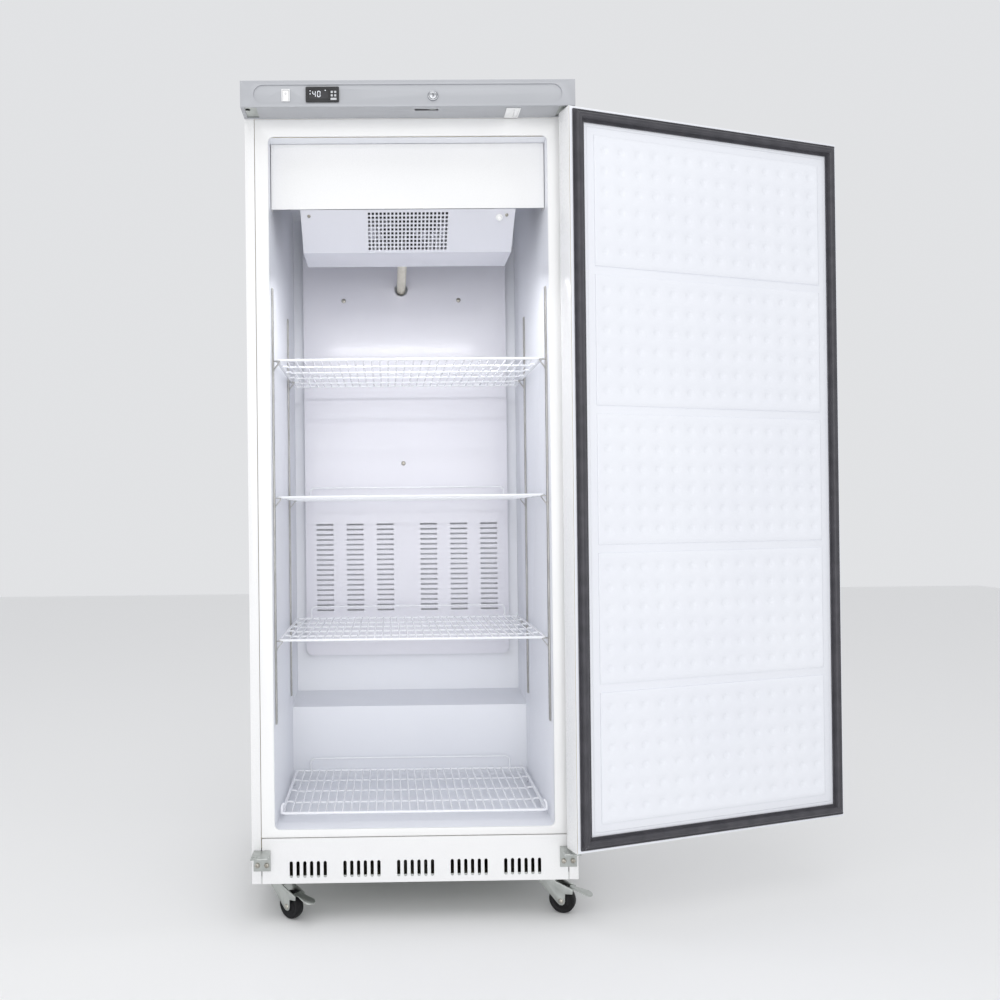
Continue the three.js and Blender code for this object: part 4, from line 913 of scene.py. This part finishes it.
shelf_tops = [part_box(f"shelf_{n}")[1].z - 0.034 for n in (1, 2, 3)]
for end in ("front", "rear"):
    for side, way in (("left", 1), ("right", -1)):
        node = f"pilaster_{end}_{side}"
        low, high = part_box(node)
        back_x = low.x if way > 0 else high.x
        front_x = back_x + way * 0.004
        y = (low.y + high.y) / 2
        strip = twin(channel, f"channel_{end}_{side}", (front_x, y, strip_low.z + slot_pitch / 2))
        strip.rotation_mode = "XYZ"
        strip.rotation_euler = (math.radians(90), 0, way * math.radians(90))
        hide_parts(node)
        settle(strip, "cabinet", channel_steel)
        for n, top in enumerate(shelf_tops):
            z = top - 0.0053
            bpy.ops.object.select_all(action="DESELECT")
            bpy.ops.mesh.primitive_plane_add(size=0.0001, location=(front_x, y - 0.0055, z - 0.0235))
            clip = bpy.context.object
            clip.name = f"shelf_clip_{end}_{side}_{n + 1}"
            set_in_place()
            bpy.ops.object.mode_set(mode="EDIT")
            bpy.ops.mesh.select_mode(type="VERT")
            bpy.ops.mesh.merge(type="CENTER")
            for dx, dz in ((0.0005, 0.004), (0.0135, 0.0175), (0.0008, 0.0020), (-0.0148, 0)):
                bpy.ops.mesh.extrude_vertices_move(TRANSFORM_OT_translate={"value": (way * dx, 0, dz)})
            bpy.ops.mesh.select_all(action="SELECT")
            bpy.ops.mesh.extrude_edges_move()
            bpy.ops.transform.translate(value=(0, 0.011, 0))
            bpy.ops.mesh.select_all(action="SELECT")
            bpy.ops.mesh.normals_make_consistent(inside=False)
            bpy.ops.object.mode_set(mode="OBJECT")
            add_step(clip, "leaf", "SOLIDIFY", thickness=0.0019, offset=0)
            add_step(clip, "edge", "BEVEL", width=0.0003, limit_method="ANGLE")
            settle(clip, "cabinet", channel_steel)
bpy.data.objects.remove(channel)

# ------------------------------------------------------------------ wire shelves
# Steel wire welded into racks and dipped in white plastic: thirty-two fine wires over heavier
# cross wires, in a heavy rim, with a guard wire standing up along the back.

wire_coat = finish(
    "dipped white", (0.93, 0.94, 0.97), (0.90, 0.91, 0.95), 0.03, (0.16, 0.26), 0.002,
    (0.08, 0.0003), 0, 0.3,
)


def rack(name, node, cross_places, feet, horns=False):
    """Wires one shelf between the front, back and sides of its solid, and joins them."""
    low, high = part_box(node)
    top = high.z - 0.034
    rim = 0.0032
    fine = 0.0021
    side = (high.x - low.x) / 2
    rim_z = top - rim - 0.0001
    parts = [bent_wire(name, [
        (middle_x - side + rim, low.y + rim, rim_z), (middle_x + side - rim, low.y + rim, rim_z),
        (middle_x + side - rim, high.y - rim, rim_z), (middle_x - side + rim, high.y - rim, rim_z),
    ], rim, 0.008, closed=True, sides=2)]
    first = bent_wire("fine_wire", [
        (middle_x - side + 2 * rim, low.y + rim, top - fine),
        (middle_x - side + 2 * rim, high.y - rim, top - fine),
    ], fine)
    add_step(
        first, "thirty-two wires", "ARRAY", count=32, use_relative_offset=False,
        use_constant_offset=True, constant_offset_displace=((2 * side - 4 * rim) / 31, 0, 0),
    )
    parts.append(first)
    for y in cross_places:
        parts.append(bent_wire("cross_wire", [
            (middle_x - side + rim, low.y + y, rim_z), (middle_x - side + 0.018, low.y + y, rim_z),
            (middle_x - side + 0.023, low.y + y, rim_z - 0.0026),
            (middle_x + side - 0.023, low.y + y, rim_z - 0.0026),
            (middle_x + side - 0.018, low.y + y, rim_z), (middle_x + side - rim, low.y + y, rim_z),
        ], 0.0024, sides=1))
    guard = 0.2825
    parts.append(bent_wire("guard_wire", [
        (middle_x - guard, high.y - rim, rim_z), (middle_x - guard, high.y - rim, high.z - 0.0025),
        (middle_x + guard, high.y - rim, high.z - 0.0025), (middle_x + guard, high.y - rim, rim_z),
    ], 0.0024, 0.012, sides=2))
    for y in feet:
        for way in (-1, 1):
            x = middle_x + way * (side - rim)
            parts.append(bent_wire("foot_wire", [
                (x, low.y + y - 0.012, rim_z), (x, low.y + y - 0.012, low.z + 0.0024),
                (x, low.y + y + 0.012, low.z + 0.0024), (x, low.y + y + 0.012, rim_z),
            ], 0.0023, 0.006, sides=1))
    for way in (-1, 1) if horns else ():
        x = middle_x + way * (side - rim)
        parts.append(bent_wire("horn_wire", [
            (x, low.y + rim, rim_z), (x, low.y + rim, rim_z + 0.017),
            (x - way * 0.004, low.y + rim + 0.010, rim_z + 0.021),
        ], 0.0027, 0.005, sides=1))
    bpy.ops.object.select_all(action="DESELECT")
    for part in parts:
        part.select_set(True)
    bpy.context.view_layer.objects.active = parts[0]
    bpy.ops.object.join()
    rack_piece = bpy.context.object
    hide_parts(node)
    return settle(rack_piece, node, wire_coat)


for n in (1, 2, 3):
    rack(f"wire_rack_{n}", f"shelf_{n}", (0.095, 0.188, 0.281, 0.375), ())
rack("wire_rack_4", "shelf_4", (0.095, 0.19, 0.285), (0.062, 0.316), horns=True)

# ------------------------------------------------------------------ machine room
# A hermetic compressor on rubber feet, a black finned condenser with its fan, a tray that
# catches the meltwater, and brazed copper pipes with a filter drier between them.

black_enamel = finish(
    "black enamel", (0.028, 0.028, 0.030), (0.020, 0.020, 0.022), 0.05, (0.22, 0.36), 0.0014,
    (0.15, 0.0003), 0.0, 0.3,
)
pot = eased("compressor", "compressor_shell", 0.0015, 2, 50)
settle(pot, "cabinet", black_enamel)
coat(frame["nodes"]["condenser"], black_enamel)
cooler_motor = eased("condenser_fan_motor", "condenser_motor", 0.0012, 2, 50)
settle(cooler_motor, "cabinet", black_enamel)
cooler_fan = eased("condenser_fan", "condenser_blades", 0.0006, 2)
settle(cooler_fan, "condenser_fan", mill_aluminium)
pan = eased("evaporation_pan", "meltwater_pan", 0.0008, 2)
settle(pan, "cabinet", black_plastic)
copper = finish(
    "drawn copper", (0.62, 0.30, 0.19), (0.46, 0.21, 0.13), 0.01, (0.28, 0.45), 0.001,
    (0.12, 0.0002), 1.0,
)
pipe_runs = {
    "discharge_pipe": (0.003, [
        (150, 568, 262), (150, 568, 330), (-40, 568, 330), (-40, 526, 330), (-88, 526, 330),
    ]),
    "liquid_pipe": (0.003, [(-88, 526, 150), (-30, 526, 150), (-30, 526, 196)]),
    "capillary_pipe": (0.0015, [(-30, 526, 284), (-30, 526, 340), (-10, 600, 360), (-10, 600, 433)]),
    "suction_pipe": (0.004, [(230, 568, 262), (230, 568, 350), (230, 600, 370), (230, 600, 433)]),
}
for name, (radius, corners) in pipe_runs.items():
    route = [(middle_x + x / 1000, face_y + y / 1000, z / 1000) for x, y, z in corners]
    settle(bent_wire(name, route, radius, 0.012, sides=2), "cabinet", copper)
drier = turned("filter_drier", [
    (0, 0.192), (0.0034, 0.192), (0.0040, 0.200), (0.0085, 0.210), (0.0095, 0.214), (0.0095, 0.266),
    (0.0085, 0.270), (0.0030, 0.282), (0.0024, 0.290), (0, 0.290),
], 28)
drier.location = (middle_x - 0.030, face_y + 0.526, 0)
settle(drier, "cabinet", copper)

# ------------------------------------------------------------------ casters
# Four swivelling casters. Each has a pressed zinc-plated fork on a ball race, a moulded black
# wheel on a riveted axle, and at the front a brake pedal. Four bolts hold each plate.

wheel_rubber = finish(
    "wheel rubber", (0.012, 0.012, 0.013), (0.007, 0.007, 0.008), 0.01, (0.4, 0.6), 0.0008,
    (0.3, 0.0003),
)
wheel_rubber.node_tree.nodes["Principled BSDF"].inputs["Specular IOR Level"].default_value = 0.22
wheel_pattern = turned("wheel_pattern", [
    (0.0050, -0.0125), (0.0110, -0.0125), (0.0125, -0.0100), (0.0150, -0.0092), (0.0215, -0.0092),
    (0.0235, -0.0105), (0.0280, -0.0110), (0.0303, -0.0098), (0.0315, -0.0065), (0.03172, 0),
    (0.0315, 0.0065), (0.0303, 0.0098), (0.0280, 0.0110), (0.0235, 0.0105), (0.0215, 0.0092),
    (0.0150, 0.0092), (0.0125, 0.0100), (0.0110, 0.0125), (0.0050, 0.0125), (0.0050, -0.0125),
], 48)
cap_pattern = turned("cap_pattern", [
    (0, 0), (0.0062, 0), (0.0062, 0.0008), (0.0054, 0.0020), (0.0036, 0.0030), (0.0016, 0.0034),
    (0, 0.0034),
], 24)
race_pattern = turned("race_pattern", [
    (0, -0.0005), (0.0190, -0.0005), (0.0222, 0.0008), (0.0228, 0.0028), (0.0205, 0.0044),
    (0.0160, 0.0048), (0, 0.0048),
], 40)
bolt_pattern = turned("bolt_pattern", [
    (0, 0), (0.0050, 0), (0.0050, 0.0028), (0.0044, 0.0034), (0, 0.0034),
], 6)
axle_end = 0.0166
race_z = 0.0812
plate_under = 0.0865
bolt_reach = 0.0235
joints = {joint["name"]: joint for joint in frame["joints"]}
for corner in ("front_left", "front_right", "rear_left", "rear_right"):
    fork = eased(f"caster_fork_{corner}", f"fork_{corner}", 0.0007, 2)
    settle(fork, f"caster_{corner}", zinc_plate)
    axle = joints[f"wheel_{corner}_roll"]
    centre = Vector(axle["pos_m"])
    along = Vector(axle["axis"])
    wheel = twin(wheel_pattern, f"wheel_{corner}", centre, along)
    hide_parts(f"caster_wheel_{corner}")
    settle(wheel, f"wheel_{corner}", wheel_rubber)
    for n, way in enumerate((-1, 1)):
        cap = twin(cap_pattern, f"axle_head_{corner}_{n}", centre + along * way * axle_end, along * way)
        settle(cap, f"caster_{corner}", bright_zinc)
    pivot = Vector(joints[f"caster_{corner}_swivel"]["pos_m"])
    race = twin(race_pattern, f"ball_race_{corner}", (pivot.x, pivot.y, race_z))
    settle(race, f"caster_{corner}", bright_zinc)
    for n, (across, deep) in enumerate(((-1, -1), (1, -1), (-1, 1), (1, 1))):
        spot = (pivot.x + across * bolt_reach, pivot.y + deep * bolt_reach, plate_under)
        head = twin(bolt_pattern, f"plate_bolt_{corner}_{n}", spot, (0, 0, -1), 0.4 * n)
        settle(head, "cabinet", bright_zinc)
for side in ("left", "right"):
    lever = eased(f"brake_pedal_front_{side}", f"brake_lever_{side}", 0.0007, 2)
    settle(lever, f"pedal_front_{side}", zinc_plate)
for pattern in (wheel_pattern, cap_pattern, race_pattern, bolt_pattern, pattern_screw):
    bpy.data.objects.remove(pattern)
